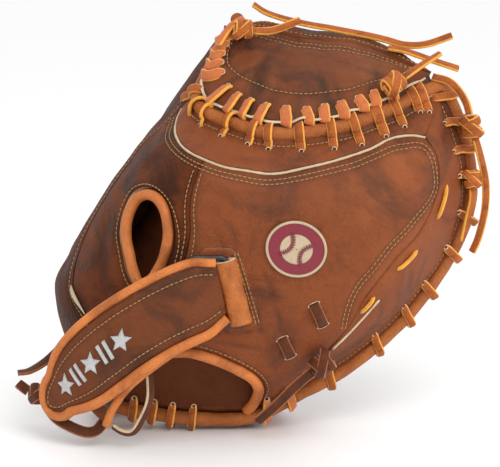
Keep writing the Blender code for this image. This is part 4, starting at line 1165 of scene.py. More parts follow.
def napped_leather(name, face, dark, rough=0.82, scale=1500.0, bump=0.00016, sheen=0.25):
    """The soft side or the cut edge of a leather."""
    material, tree, shader = start_material(name)
    nap = place_group(tree, "Leather nap", Scale=scale, Streak=0.6)
    # The point's darkening value mixes in the dark colour: painted shade in grooves and edges, wear elsewhere.
    color = mix_node(tree, times(tree, shade_and_wear_value(tree), 0.5), mix_node(tree, nap["Value"], dark, face), dark)
    dial(tree, shader, Base_Color=color, Normal=bumped(tree, nap["Height"], bump), Roughness=rough,
         Sheen_Weight=sheen, Sheen_Roughness=0.5)
    return material


def thread(name, face, dark, rough=0.6, scale=2600.0, sheen=0.2):
    """Twisted or satin thread."""
    material, tree, shader = start_material(name)
    twist = place_group(tree, "Thread twist", Scale=scale)
    nap = place_group(tree, "Leather nap", Scale=700.0, Streak=0.5)
    both = plus(tree, times(tree, twist["Value"], 0.55), times(tree, nap["Value"], 0.45))
    dial(tree, shader, Base_Color=mix_node(tree, both, dark, face), Roughness=rough, Sheen_Weight=sheen,
         Normal=bumped(tree, twist["Height"], 0.00012))
    return material


def plastic(name, face, rough=0.35):
    """Moulded plastic, or a hole's inside as painted shade."""
    material, tree, shader = start_material(name)
    nap = place_group(tree, "Leather nap", Scale=350.0, Streak=0.5)
    dial(tree, shader, Base_Color=mix_node(tree, nap["Value"], dimmed(face, 0.7), face),
         Roughness=range_node(tree, nap["Value"], 0.0, 1.0, rough - 0.06, rough + 0.08),
         Normal=bumped(tree, nap["Height"], 0.00003))
    return material


MATERIALS = {}


def finishes(*names):
    return [MATERIALS[name] for name in names]


def build_materials(colors):
    """Every finish on the mitt."""
    for build in (build_tone_group, build_grain_group, build_nap_group, build_twist_group):
        build()
    brown, dark, light, orange, orange_dark, lace, lace_edge, cream, sewing, crimson = (
        tuple(getattr(colors, name)) for name in (
            "brown", "dark", "light", "orange", "orange_dark", "lace", "lace_edge", "cream", "thread", "crimson"))

    def tan(share, deep):
        """The three leather colours, dimmed."""
        return dimmed(brown, share), dimmed(dark, deep), dimmed(light, share)

    MATERIALS.update(
        back=smooth_leather("back_leather", *tan(1.0, 0.9), 0.75, 0.75, 13.0),
        # The finger and pinky leathers are darker copies of the back leather: partly their own darker tone, partly
        # painted shade on the side that faces away from the light.
        finger=smooth_leather("finger_leather_partly_shaded", *tan(0.60, 0.55), 0.9, 0.7, 16.0, coat=0.0, shine=0.16),
        pinky=smooth_leather("pinky_leather_partly_shaded", *tan(0.40, 0.36), 0.9, 0.6, 15.0, coat=0.0, shine=0.12),
        web=smooth_leather("web_leather", *tan(0.70, 0.50), 0.95, 0.95, 17.0),
        palm=smooth_leather("palm_leather", *tan(0.80, 0.80), 0.8, 0.6, 12.0, wrinkle_scale=70.0),
        lining=smooth_leather("lining_leather", *tan(0.60, 0.70), 0.5, 0.4, rough=(0.5, 0.66)),
        strap=smooth_leather("strap_leather", *tan(0.70, 0.66), 0.75, 0.6, 22.0),
        roll=smooth_leather("roll_leather", dimmed(orange, 0.66), orange_dark, dimmed(orange, 0.8), 0.6, 0.5, 30.0,
                            wrinkle_scale=160.0),
        keeper=smooth_leather("keeper_leather", dimmed(orange, 0.76), orange_dark, orange, 0.6, 0.4, 40.0),
        orange=smooth_leather("binding_leather", orange, orange_dark, dimmed(orange, 1.25), 0.55, 0.5, 26.0,
                              rough=(0.34, 0.50), pebble=0.4, wrinkle=0.7, wrinkle_scale=160.0, coat=0.12),
        lace=napped_leather("lace_leather", lace, dimmed(lace, 0.62), rough=0.72, sheen=0.15),
        lace_grain=smooth_leather("lace_grain_leather", dimmed(lace, 0.76), dimmed(lace, 0.30), lace, 0.7, 0.5, 60.0,
                                  pebble=0.5, wrinkle_scale=220.0),
        lace_edge=napped_leather("lace_edge_leather", lace_edge, dimmed(lace_edge, 0.62), rough=0.8, bump=0.00025),
        dark_lace=smooth_leather("dark_lace_leather", dimmed(brown, 0.48), dimmed(dark, 0.8), dimmed(light, 0.62),
                                 0.6, 0.5, 55.0, wrinkle_scale=200.0),
        raw_edge=napped_leather("raw_edge_leather", cream, dimmed(cream, 0.55), rough=0.88, bump=0.00022),
        tan_edge=napped_leather("tan_edge_leather", dimmed(orange, 0.62), dimmed(orange, 0.3), rough=0.85),
        flesh=napped_leather("flesh_leather", dimmed(orange, 0.60), dimmed(orange, 0.32), rough=0.9, sheen=0.3),
        cream=thread("cream_piping_cord", cream, dimmed(cream, 0.62), scale=900.0),
        stitch=thread("tan_thread", sewing, dimmed(sewing, 0.5)),
        silver=thread("silver_thread", (0.72, 0.72, 0.70), (0.36, 0.36, 0.36), rough=0.42, scale=1800.0),
        patch=thread("crimson_satin", crimson, dimmed(crimson, 0.5), rough=0.5, scale=1500.0, sheen=0.3),
        patch_cream=thread("cream_satin", cream, dimmed(cream, 0.6), rough=0.55, scale=1500.0),
        black=plastic("black_moulding", (0.016, 0.016, 0.018)),
        hook=napped_leather("black_hook_tape", (0.035, 0.035, 0.038), (0.006, 0.006, 0.007), scale=1100.0,
                            bump=0.0007, sheen=0.4),
        hole=plastic("hole_shadow", (0.022, 0.010, 0.006), rough=0.9))


def cord_path(points):
    """A free lace's centre line in metres, started clear of the knot that it leaves."""
    line = stand_line(smooth_line(points, 900))
    for _, place, radius in KNOTS:
        centre = stand(*place)
        far = np.linalg.norm(line - centre, axis=1)
        line = line[far > radius * 0.985 + GAP]
    run = run_of(line)
    count = max(14, int(round(run[-1] / 0.0018)))
    at = np.linspace(0.0, run[-1], count)
    return read_at(line, run, at)


def lace_normals(path, first, turn):
    """The way a free lace's face looks along its path, turning evenly by turn radians."""
    tangent = unit(np.gradient(path, axis=0))
    normal = np.asarray(first, float)
    out = []
    for t in tangent:
        normal = unit(normal - t * np.dot(normal, t))
        out.append(normal.copy())
    out = np.array(out)
    angle = np.linspace(0.0, turn, len(path))[:, None]
    return out * np.cos(angle) + np.cross(tangent, out) * np.sin(angle)


# How each free lace lies: the way its face looks first, its turn in degrees, and its leather.
LACE_LAY = {
    "top_lace": ((0.1, -0.45, 0.9), 30.0, "lace"),
    "top_lace_short": ((0.0, -0.45, 0.9), 15.0, "lace"),
    "web_knot_right_tail": ((-0.3, -0.8, 0.5), -30.0, "lace"),
    "web_knot_left_tail": ((0.1, -0.8, 0.6), 40.0, "lace"),
    "thumb_lace": ((0.3, -0.9, 0.3), 30.0, "lace"),
    "thumb_tail_upper": ((0.5, -0.8, 0.2), 65.0, "lace"),
    "thumb_tail_lower": ((0.4, -0.9, 0.1), -40.0, "lace"),
    "heel_tail": ((0.0, -1.0, 0.1), -15.0, "dark"),
    "pinky_tail": ((-0.2, -0.9, 0.4), 30.0, "dark"),
    "pinky_tail_upper": ((-0.2, -0.9, 0.4), 35.0, "dark"),
    "pinky_lace": ((-0.1, -0.8, 0.6), 20.0, "dark"),
    "wrist_loop": ((0.75, -0.65, 0.1), 20.0, "loop"),
}

# Laces that are broader than the rest.
LACE_WIDTHS = {
    "heel_tail": 0.0068, "pinky_lace": 0.0074, "pinky_tail": 0.0070, "pinky_tail_upper": 0.0066, "wrist_loop": 0.0058,
}


def build_free_laces():
    """The lacing's loose ends, as flat laces with cut edges, along the same routes as the solids."""
    for name, points in CORDS:
        path = cord_path(points)
        first, turn, kind = LACE_LAY[name]
        width = LACE_WIDTHS.get(name, sizes().lace_width)
        normals = lace_normals(path, first, math.radians(turn))
        ribbon = Ribbons()
        wear = 0.25 + 0.25 * waves(np.arange(len(path)) * 1.0, np.zeros(len(path)), 14.0, len(name))
        ribbon.add(path, normals, width, sizes().lace_thickness, bow=0.0003, marks=np.clip(wear, 0, 1))
        skins = {"lace": ("lace_grain", "lace_edge", "lace"), "dark": ("dark_lace", "tan_edge", "flesh"),
                 "loop": ("dark_lace", "raw_edge", "flesh")}[kind]
        piece = ribbon.build(name + "_strip", finishes(*skins))
        settle(piece, "lace_leather" if kind == "lace" else "dark_lace_leather", name)


def finer(values, axis, times, wrap=False):
    """Smooth in-between places along one axis of a grid, without overshoot."""
    v = np.moveaxis(np.asarray(values, float), axis, 0)
    step = np.roll(v, -1, 0) - v if wrap else np.diff(v, axis=0)
    size = np.linalg.norm(step[..., :3], axis=-1, keepdims=True) + 1e-9
    if wrap:
        back, back_size = np.roll(step, 1, 0), np.roll(size, 1, 0)
        slope = (back * size + step * back_size) / (size + back_size)
        start, stop, leave, reach = v, np.roll(v, -1, 0), slope, np.roll(slope, -1, 0)
    else:
        inner = (step[:-1] * size[1:] + step[1:] * size[:-1]) / (size[1:] + size[:-1])
        slope = np.concatenate([step[:1], inner, step[-1:]])
        start, stop, leave, reach = v[:-1], v[1:], slope[:-1], slope[1:]
    t = (np.arange(times) / times).reshape((-1, 1) + (1,) * (v.ndim - 1))
    fine = ((2 * t**3 - 3 * t**2 + 1) * start[None] + (t**3 - 2 * t**2 + t) * leave[None] + (3 * t**2 - 2 * t**3)
        * stop[None] + (t**3 - t**2) * reach[None])
    fine = np.moveaxis(fine, 0, 1).reshape((-1,) + v.shape[1:])
    if not wrap:
        fine = np.concatenate([fine, v[-1:]])
    return np.moveaxis(fine, 0, axis)


def grid_normal(grid, wrap=False):
    """Directions square to a grid of points."""
    du = np.gradient(grid, axis=0)
    dv = np.roll(grid, -1, 1) - np.roll(grid, 1, 1) if wrap else np.gradient(grid, axis=1)
    normal = np.cross(du, dv)
    return normal / (np.linalg.norm(normal, axis=-1)[..., None] + 1e-12)


def towards_back(normal):
    """The same directions, turned so that they look to the back of the mitt."""
    return -normal if normal[..., 1].mean() > 0 else normal


def sample(grid, v, u):
    """A grid's value between its points, by shares of its rows and columns."""
    rows, cols = grid.shape[:2]
    a = np.clip(np.asarray(v, float), 0.0, 1.0) * (rows - 1)
    b = np.clip(np.asarray(u, float), 0.0, 1.0) * (cols - 1)
    i = np.clip(a.astype(int), 0, rows - 2)
    j = np.clip(b.astype(int), 0, cols - 2)
    f, g = (a - i)[..., None], (b - j)[..., None]
    return (grid[i, j] * (1 - f) * (1 - g) + grid[i + 1, j] * f * (1 - g) + grid[i, j + 1] * (1 - f) * g + grid[i + 1,
        j + 1] * f * g)


class Skin:
    """A wall's face: places on it by shares of its rows and columns, lifted off it."""

    def __init__(self, grid):
        self.normal = towards_back(grid_normal(grid))
        self.grid = grid

    def place(self, v, u, lift=0.0):
        lift = np.asarray(lift, float)[..., None]
        return sample(self.grid, v, u) + sample(self.normal, v, u) * lift

    def out(self, v, u):
        return unit(sample(self.normal, v, u))


def strap_faces(path, side, out, tilt=0.0):
    """Face directions of a strap that keeps its width along side and looks out, tilted to the left."""
    tangent = np.gradient(path, axis=0)
    normal = np.cross(side, tangent)
    normal /= np.linalg.norm(normal, axis=1)[:, None] + 1e-12
    middle = len(path) // 2
    normal = -normal if np.dot(normal[middle], out) < 0 else normal
    tangent = unit(tangent)
    aside = np.cross(tangent, normal)
    if aside[middle, 0] > 0:
        aside = -aside
    return normal * math.cos(tilt) + aside * math.sin(tilt)


# Rings of the palm's control grid, from the middle of the lining round the edge to the pocket.
LINING_RINGS = 7
# Dressed rows and columns for each one of the control grid.
PALM_STEPS = 6


def palm_rings():
    """The padded palm's control rings: places in metres with their flat places."""
    rim = smooth_line(RIM_TABLE, 60, closed=True)
    edge = shift_line(rim, -RIM_INSET, closed=True)
    middle = np.array([-0.070, 0.330])
    core = middle + 0.16 * (edge - middle)

    def ring_of(flat, height):
        return np.concatenate([on_sheet(flat[:, 0], flat[:, 1], height), flat], axis=1)

    back, front = [], []
    for share in (-0.15, 0.0, 0.30, 0.56, 0.74, 0.88, 1.0):
        ring = (1 - share) * core + share * edge
        back.append(ring_of(ring, 0.0))
        if share < 1.0:
            front.append(ring_of(ring, pad_depth(ring[:, 0], ring[:, 1])))
    heel = smooth_step((rim[:, 0] + 0.03) / 0.08) * smooth_step((0.17 - rim[:, 1]) / 0.10)
    heel = heel + smooth_step((-0.24 - rim[:, 0]) / 0.08) * smooth_step((0.10 - rim[:, 1]) / 0.10)
    web = smooth_step((rim[:, 1] - 0.55) / 0.08) * smooth_step((0.20 - rim[:, 0]) / 0.06)
    web = web * smooth_step((rim[:, 0] + 0.36) / 0.08)
    depth = PAD_SIDE * (1.0 - 0.55 * web)
    bulge = PAD_OVERHANG + HEEL_OVERHANG * heel - (RIM_INSET * MITT_LENGTH + PAD_OVERHANG) * web
    swell = heel_swell(rim[:, 0], rim[:, 1])
    normal = unit(rim - edge)
    for part, level, low, out in ((0.34, 0.62, 0.1, 0.0), (1.0, 1.0, 0.45, 0.25), (0.55, 1.50, 1.0, 1.15)):
        reach = RIM_INSET * part * (1.0 - web) + bulge * part / MITT_LENGTH
        reach = reach * (1.0 - web) + swell * out * HEEL_PAD_REACH / MITT_LENGTH
        ring = edge + normal * reach[:, None]
        back.append(ring_of(ring, depth * level + HEEL_PAD * low * swell))
    return np.stack(back + front[::-1])


def palm_surface():
    """The palm's dressed surface, its outward directions, its flat places and its painted shade in the creases and
    next to the rim.
    """
    grid = finer(finer(palm_rings(), 0, PALM_STEPS), 1, PALM_STEPS, wrap=True)
    place, flat = grid[..., :3], grid[..., 3:]
    row = np.linspace(0.0, (len(grid) - 1) / PALM_STEPS, len(grid))[:, None]
    out = grid_normal(place, wrap=True)
    middle = place.reshape(-1, 3).mean(axis=0)
    if np.einsum("ijk,ijk->ij", out, place - middle).mean() < 0:
        out = -out
    front = smooth_step((row - 8.6) / 1.6)
    rise = 0.0007 * waves(flat[..., 0], flat[..., 1], 0.16, 21) + 0.0003 * waves(flat[..., 0], flat[..., 1], 0.06, 5)
    deep = crease_depth(flat, POCKET_CREASES) * front
    gap = np.linalg.norm(flat[..., None, :] - RIM[::3], axis=-1)
    far, run = gap.min(axis=-1) * MITT_LENGTH, RIM_RUN[::3][gap.argmin(axis=-1)]
    pucker = np.cos(2 * math.pi * run / LACE_PITCH) * np.exp(-(((far - 0.008) / 0.009) ** 2)) * front
    rise = rise - deep + 0.0006 * pucker
    # The pocket's creases and the strip next to the rim are darkened: painted shade.
    shade_and_wear = np.clip(deep / 0.0015, 0.0, 1.0) + 0.35 * np.exp(-((far / 0.010) ** 2))
    return place + out * rise[..., None], out, flat, np.clip(shade_and_wear, 0.0, 1.0)


def build_palm_skin():
    """The padded palm: its lining on the hand's side and its creased pocket."""
    place, _, _, shade_and_wear = PALM
    rows, cols = place.shape[:2]
    vertices = place.reshape(-1, 3)
    faces = grid_faces(rows, cols, wrap=True).tolist()
    slots = np.repeat((np.arange(rows - 1) < LINING_RINGS * PALM_STEPS - 8).astype(int), cols).tolist()
    low = len(vertices)
    vertices = np.concatenate([vertices, place[0].mean(axis=0)[None], place[-1].mean(axis=0)[None]])
    top = (rows - 1) * cols
    for c in range(cols):
        n = (c + 1) % cols
        faces.append([n, c, low])
        faces.append([top + c, top + n, low + 1])
        slots += [1, 0]
    marks = np.concatenate([shade_and_wear.ravel(), [0.0, 0.0]])
    palm = make_mesh("padded_palm", vertices, faces, finishes("palm", "lining"), slots, marks)
    face_out(palm)
    settle(palm, "brown_leather", "palm_pad")


def dress_panel(name, flat, skin, edge="tan_edge", wrap=False, lift=0.0, replaced=True, wall=WALL):
    """A sewn leather panel of the back with its relief, rounded border and cut edge."""
    across, along = flat[..., 0], flat[..., 1]
    rise, shade_and_wear = relief(across, along)
    base = back_height(across, along) - lift
    inside = on_sheet(across, along, base + wall)
    outside = rounded(on_sheet(across, along, base - rise), inside, wrap)
    skins = [MATERIALS[skin], MATERIALS[edge], MATERIALS["flesh"]]
    panel = wall_mesh(name + "_skin", outside, inside, skins, shade_and_wear, wrap)
    return settle(panel, "brown_leather", *((name,) if replaced else ()))


def build_back_panels():
    """The back's leather panels and the two bands along the edge."""
    joint = 0.0005 / MITT_LENGTH
    under = ROLL_RADIUS * 0.75 / MITT_LENGTH
    piping = smooth_line(PIPING_LINE, 140)
    outer = smooth_line(shift_line(part_of_rim(len(RIM_PERIMETER) + 0.9, len(RIM_TABLE) + 0.15, 28), -under), 140)
    t = np.linspace(0.0, 1.0, 22)[:, None, None]
    dress_panel("web_side_band", (1 - t) * shift_line(piping, joint)[None] + t * outer[None], "back")

    outer = smooth_line(shift_line(part_of_rim(0.15, 9, 24), -under), 130)
    inner = smooth_line(PIPING_LINE[-1:] + BAND_LINE, 130)
    t = np.linspace(0.0, 1.0, 30)[:, None, None]
    dress_panel("thumb_band", (1 - t) * inner[None] + t * outer[None], "back")

    below = shift_line(piping, -joint)
    clear = (BINDING_RADIUS + GAP) / MITT_LENGTH
    wrist = smooth_line(shift_line(smooth_line(WRIST_LINE, 18), clear), 90)
    right_side = np.vstack([smooth_line(THUMB_HEEL_LINE, 8)[::-1], smooth_line(BAND_LINE, 16)[::-1][1:]])
    right_side = smooth_line(right_side, 110)
    left_side = smooth_line(SEAM_LINE, 110)
    start = np.argmin(np.abs(below[:, 0] - left_side[-1, 0]))
    top = smooth_line(below[start:], 90)
    left_side[-1], wrist[0], right_side[-1], wrist[-1] = top[0], left_side[0], top[-1], right_side[0]
    dress_panel("thumb_panel", coons(left_side, right_side, wrist, top), "back")

    hole = smooth_line(HOLE_LINE, 120, closed=True)
    near = shift_line(hole, clear, closed=True)
    if np.ptp(near[:, 0]) < np.ptp(hole[:, 0]):
        near = shift_line(hole, -clear, closed=True)
    seam = smooth_line(SEAM_LINE, 56)
    stop = np.argmin(np.abs(below[:, 0] - seam[-1, 0]))
    over = smooth_line(below[: stop + 1][::-1], 40)
    edge = smooth_line(FINGER_EDGE_LINE, 48)[::-1]
    foot = smooth_line(FINGER_FOOT_LINE, 30)
    seam[-1], edge[0], foot[0], foot[-1] = over[0], over[-1], edge[-1], seam[0]
    outline = np.vstack([seam, over[1:], edge[1:], foot[1:-1]])
    near = spread_round(near, outline, HOLE_CENTRE)
    t = np.linspace(0.0, 1.0, 26)[:, None, None]
    # The finger leather is partly painted shade.
    dress_panel("finger_panel", (1 - t) * near[None] + t * outline[None], "finger", edge="raw_edge", wrap=True)

    left_edge = smooth_line(FINGER_EDGE_LINE, 80)
    far = smooth_line(shift_line(part_of_rim(15.2, 26, 18), -under), 80)
    low = smooth_line(PINKY_WRIST_LINE, 60)
    high = smooth_line(shift_line(part_of_rim(26, 28, 12), -under)[::-1], 60)
    low[0], low[-1], high[0], high[-1] = left_edge[0], far[0], left_edge[-1], far[-1]
    # The pinky leather is partly painted shade.
    dress_panel("pinky_panel", coons(left_edge, far, low, high), "pinky", edge="raw_edge")


def back_line(line, lift=0.0):
    """A flat line laid on the dressed back, in metres, with its outward directions."""
    return back_place(line[:, 0], line[:, 1], lift), back_normal(line[:, 0], line[:, 1])


def above_back(line, height):
    """A flat line this far above the back's panels, in metres."""
    return on_sheet(line[:, 0], line[:, 1], back_height(line[:, 0], line[:, 1]) + height)


def build_bindings():
    """The bound edges of the finger hole and the wrist, and the cream piping."""
    hole = smooth_line(HOLE_LINE, 150, closed=True)
    path = above_back(hole, WALL / 2)
    worn = np.clip(0.25 + 0.3 * waves_on(path, 0.02, 4), 0, 1)
    size = BINDING_RADIUS * (1.0 + 0.03 * waves_on(path, 0.012, 9))
    ring = tube_mesh("finger_hole_piping", path, size, finishes("orange"), 18, closed=True, marks=worn)
    settle(ring, "orange_leather", "finger_hole_binding")

    line = smooth_line(WRIST_LINE + ((0.199, 0.100), (0.200, 0.078)), 120)
    path = above_back(line, WALL / 2)
    size = BINDING_RADIUS * (1.0 + 0.03 * waves_on(path, 0.012, 2))
    piece = tube_mesh("wrist_piping", path, size, finishes("orange"), 18)
    settle(piece, "orange_leather", "wrist_binding")

    piping = smooth_line(PIPING_LINE, 220)
    path = above_back(piping, PIPING_RADIUS * 0.3)
    size = 0.00085 * (1.0 + 0.12 * waves_on(path, 0.006, 5))
    piece = tube_mesh("cream_cord", path, size, finishes("cream"), 10)
    settle(piece, "cream_piping", "cream_piping")


ROLLS = (("thumb_roll", 0, 9, 60), ("heel_roll", 9, 17, 50), ("pinky_roll", 17, 25, 50), ("web_roll", 26.1, 38.25, 80))


def build_edge_rolls():
    """The rolled leather along the edge, with its small folds."""
    for name, first, last, count in ROLLS:
        line = part_of_rim(first, last, count)
        trim = -0.0016 / MITT_LENGTH
        line[0] += unit(line[1] - line[0]) * trim
        line[-1] += unit(line[-2] - line[-1]) * trim
        line = smooth_line(line, 260)
        line = shift_line(line, -0.0007 / MITT_LENGTH)
        path = on_sheet(line[:, 0], line[:, 1], roll_height(line[:, 0], line[:, 1]))
        size = ROLL_RADIUS * (1.17 + 0.05 * waves_on(path, 0.014, len(name)))
        worn = np.clip(0.2 + 0.5 * waves_on(path, 0.03, 6), 0, 1)
        piece = tube_mesh(name + "_welt", path, size, finishes("roll"), 16, marks=worn)
        settle(piece, "orange_leather", name)


# The thickness of the straps that lace the web on.
LACING_THICK = 0.0023

# Where the web's side of the rim starts and ends, in rows of RIM_TABLE.
WEB_SIDE = (26.1, 37.6)


def web_grid(rows, cols):
    """The web's middle surface, from the roll up to its top edge."""
    base = part_of_rim(*WEB_SIDE, cols)
    clear = (ROLL_RADIUS + LACE_THICK + 2 * GAP) / MITT_LENGTH
    low_flat = shift_line(base, clear)
    low = on_sheet(low_flat[:, 0], low_flat[:, 1], roll_height(low_flat[:, 0], low_flat[:, 1]))
    high = stand_line(smooth_line(WEB_TOP, cols))
    t = np.linspace(0.0, 1.0, rows)[:, None, None]
    grid = (1 - t) * low[None] + t * high[None]
    along = np.sin(math.pi * np.linspace(0.0, 1.0, cols))[None, :, None]
    push = WEB_BULGE * np.sin(math.pi * t) * along
    return grid + push * np.array((0.0, -0.75, 0.66))


WEB_SEAMS = (
    ((0.135, 0.80), (0.145, 0.62), (0.190, 0.455), (0.260, 0.345), (0.350, 0.285), (0.450, 0.255), (0.560, 0.245),
     (0.660, 0.262), (0.750, 0.315), (0.830, 0.41), (0.895, 0.54), (0.930, 0.68)),
    ((0.120, 0.815), (0.300, 0.800), (0.520, 0.790), (0.740, 0.780), (0.940, 0.735)),
    ((0.150, 0.765), (0.300, 0.752), (0.520, 0.742), (0.740, 0.730), (0.900, 0.690)),
)
WEB_CREASES = (
    (((0.28, 0.08), (0.31, 0.28), (0.36, 0.50)), 0.55, 3.0),
    (((0.64, 0.08), (0.61, 0.30), (0.55, 0.52)), 0.45, 3.0),
    (((0.20, 0.56), (0.30, 0.63), (0.44, 0.62)), 0.50, 3.4),
    (((0.70, 0.55), (0.78, 0.44), (0.84, 0.30)), 0.40, 2.5),
    (((0.40, 0.40), (0.47, 0.36), (0.50, 0.28)), 0.40, 2.0),
)
WEB_SPAN = (0.82, 0.24)


def web_relief(t, u):
    """How far the web's leather stands out with its creases, and its darkening, which is painted shade in the creases,
    along the seams and at the web's lower edge.
    """
    t, u = np.broadcast_arrays(np.asarray(t, float), np.asarray(u, float))
    flat = np.stack([u * WEB_SPAN[0], t * WEB_SPAN[1]], axis=-1)
    creases = [([(a * WEB_SPAN[0], b * WEB_SPAN[1]) for a, b in line], deep, wide) for line, deep, wide in WEB_CREASES]
    deep = crease_depth(flat, creases)
    rise = 0.0006 * waves(flat[..., 0], flat[..., 1], 0.12, 31) + 0.0003 * waves(flat[..., 0], flat[..., 1], 0.05, 7)
    rise = rise - deep
    # Painted shade in the creases.
    shade_and_wear = np.clip(deep / 0.0006, 0.0, 1.0)
    for seam in WEB_SEAMS:
        line = smooth_line([(a * WEB_SPAN[0], b * WEB_SPAN[1]) for a, b in seam], 40)
        far = distance_to(flat, line)[0] * MITT_LENGTH
        rise = rise - 0.00035 * np.exp(-((far / 0.0012) ** 2)) + 0.0004 * np.exp(-(((far - 0.005) / 0.003) ** 2))
        # Painted shade along the seams.
        shade_and_wear = np.maximum(shade_and_wear, 0.7 * np.exp(-((far / 0.0018) ** 2)))
    # The web's lower edge, where it meets the roll, is darkened: painted shade.
    return rise, np.clip(np.maximum(shade_and_wear, 0.6 * (1.0 - t / 0.09)), 0.0, 1.0)


def web_place(t, u, lift=0.0):
    return WEB.place(t, u, np.asarray(lift, float) + WEB_WALL / 2 + web_relief(t, u)[0])


def web_rows(shares):
    """The web's middle surface, where each column has its own shares of the height."""
    fine = web_grid(600, shares.shape[1])
    low = np.minimum((shares * 599).astype(int), 598)
    part = (shares * 599 - low)[..., None]
    column = np.arange(shares.shape[1])[None]
    return fine[low, column] * (1 - part) + fine[low + 1, column] * part


def build_web_skin():
    """The closed web, the thick band along its top and its raw lower edge."""
    u = np.linspace(0.0, 1.0, 170)[None, :]
    corner = 0.28 * np.clip(1.0 - u / 0.06, 0.0, 1.0) ** 2 + 0.05 * np.clip((u - 0.97) / 0.03, 0.0, 1.0) ** 2
    t = np.linspace(0.0, 0.90, 60)[:, None] * (1.0 - corner)
    grid = web_rows(t)
    normal = towards_back(grid_normal(grid))
    rise, shade_and_wear = web_relief(t, u)
    outside = grid + normal * (WEB_WALL / 2 + rise)[..., None]
    inside = grid - normal * WEB_WALL / 2
    skins = finishes("web", "raw_edge", "palm")
    settle(wall_mesh("closed_web", rounded(outside, inside), inside, skins, shade_and_wear), "web_leather", "web_panel")

    base = part_of_rim(*WEB_SIDE, 170)
    high = roll_height(base[:, 0], base[:, 1])
    steps = np.linspace(0.0, 1.0, 6)[:, None, None]
    gusset = on_sheet(base[:, 0], base[:, 1], high - 0.0012)[None] * (1 - steps) + (outside[1] - normal[1]
        * 0.0005)[None] * steps
    skins = finishes("web", "raw_edge", "palm")
    back_of = towards_back(grid_normal(gusset)) * 0.0012
    # The gusset down between the roll and the web is darkened all over: painted shade.
    settle(wall_mesh("web_gusset", gusset, gusset - back_of, skins, np.ones(gusset.shape[:2])), "web_leather")

    shares = np.linspace(0.868, 1.0, 19)
    grid = web_rows(shares[:, None] * (1.0 - corner))
    normal = towards_back(grid_normal(grid))
    x = np.linspace(-1.0, 1.0, 19)[:, None]
    swell = (0.42 + 0.58 * np.sqrt(np.clip(1.0 - np.abs(x) ** 3.2, 0.0, 1.0))) * WEB_BAND_THICK / 2
    dip = np.exp(-(((np.abs(x) - 0.55) / 0.09) ** 2)) * 0.00045
    uneven = 0.00035 * waves(u * 0.8, x * 0.05, 0.09, 3)
    outside = grid + normal * (swell - dip + uneven)[..., None]
    inside = grid - normal * (swell + uneven)[..., None]
    # Darkened a little all over, with painted shade in the stitch grooves and patches of wear.
    shade_and_wear = np.clip(0.25 + dip / 0.0007 + 0.3 * waves(u * 0.8, x * 0.05, 0.12, 12), 0.0, 1.0)
    skins = finishes("web", "web", "web")
    settle(wall_mesh("web_band", outside, inside, skins, shade_and_wear), "web_leather", "web_top_band")
    thread_work = Stitches()
    for place in (0.225, 0.775):
        line = np.stack([sample(outside, place, v) for v in np.linspace(0.02, 0.98, 200)])
        out = np.stack([sample(normal, place, v) for v in np.linspace(0.02, 0.98, 200)])
        thread_work.along(line, out)
    for seam in WEB_SEAMS:
        line = smooth_line(seam, 160)
        thread_work.along(web_place(line[:, 1], line[:, 0], SEWN_LIFT), WEB.out(line[:, 1], line[:, 0]))
    settle(thread_work.build("web_stitching", MATERIALS["stitch"]), "web_leather")

    u = np.linspace(0.02, 0.985, 260)
    ripple = 0.0018 * waves(u * 0.25, u * 0.0, 0.020, 14)
    path = WEB.place(np.zeros(260), u, 0.0010 + np.abs(ripple)) + (WEB.place(np.full(260, 0.02), u)
        - WEB.place(np.zeros(260), u)) * ripple[:, None] * 420
    piece = tube_mesh("web_raw_edge", path, 0.0010, finishes("raw_edge"), 8, squash=0.7)
    settle(piece, "cream_piping")


WEB_HOLES = (
    (0.756, 0.093), (0.479, 0.128), (0.387, 0.170), (0.328, 0.213), (0.261, 0.256), (0.185, 0.301), (0.143, 0.343),
    (0.126, 0.391), (0.126, 0.446), (0.118, 0.511), (0.109, 0.576), (0.118, 0.632), (0.134, 0.682), (0.160, 0.742),
    (0.185, 0.792), (0.235, 0.837),
)
BACK_HOLES = (
    (-0.310, 0.589), (-0.257, 0.581), (-0.217, 0.577), (-0.164, 0.587), (-0.109, 0.606), (-0.071, 0.621),
    (-0.011, 0.654), (0.047, 0.694), (0.094, 0.730), (0.130, 0.772), (0.157, 0.808), (0.177, 0.850), (0.192, 0.860),
)
# From one edge loop to the next, as a share of the mitt's length, where the photo's own places end.
LOOP_PITCH = 0.063
EDGE_LOOPS = (4.42, 5.29, 6.07, 6.73, 7.43, 8.38, 9.20, 9.73, 11.00, 11.61, 12.19, 12.70, 13.27)


def circle(centre, side, up, radius, turn):
    """Places round a centre at these angles."""
    return centre + radius * (np.cos(turn)[:, None] * side + np.sin(turn)[:, None] * up)


def eyelet(rings, holes, centre, normal, radius):
    """A laced hole: a dark disc painted as the shade in its opening, with the leather's cream cut edge round it."""
    side = unit(np.cross(normal, (0.3, 0.2, 0.9)))
    up = np.cross(normal, side)
    turn = np.linspace(0.0, 2 * math.pi, 21)[:-1]
    loop = circle(centre, side, up, radius, turn) + normal * 0.0002
    rings.append(np.concatenate([loop, loop[:1]]))
    holes.append((centre + normal * 0.00012, side, up, radius * 0.62))


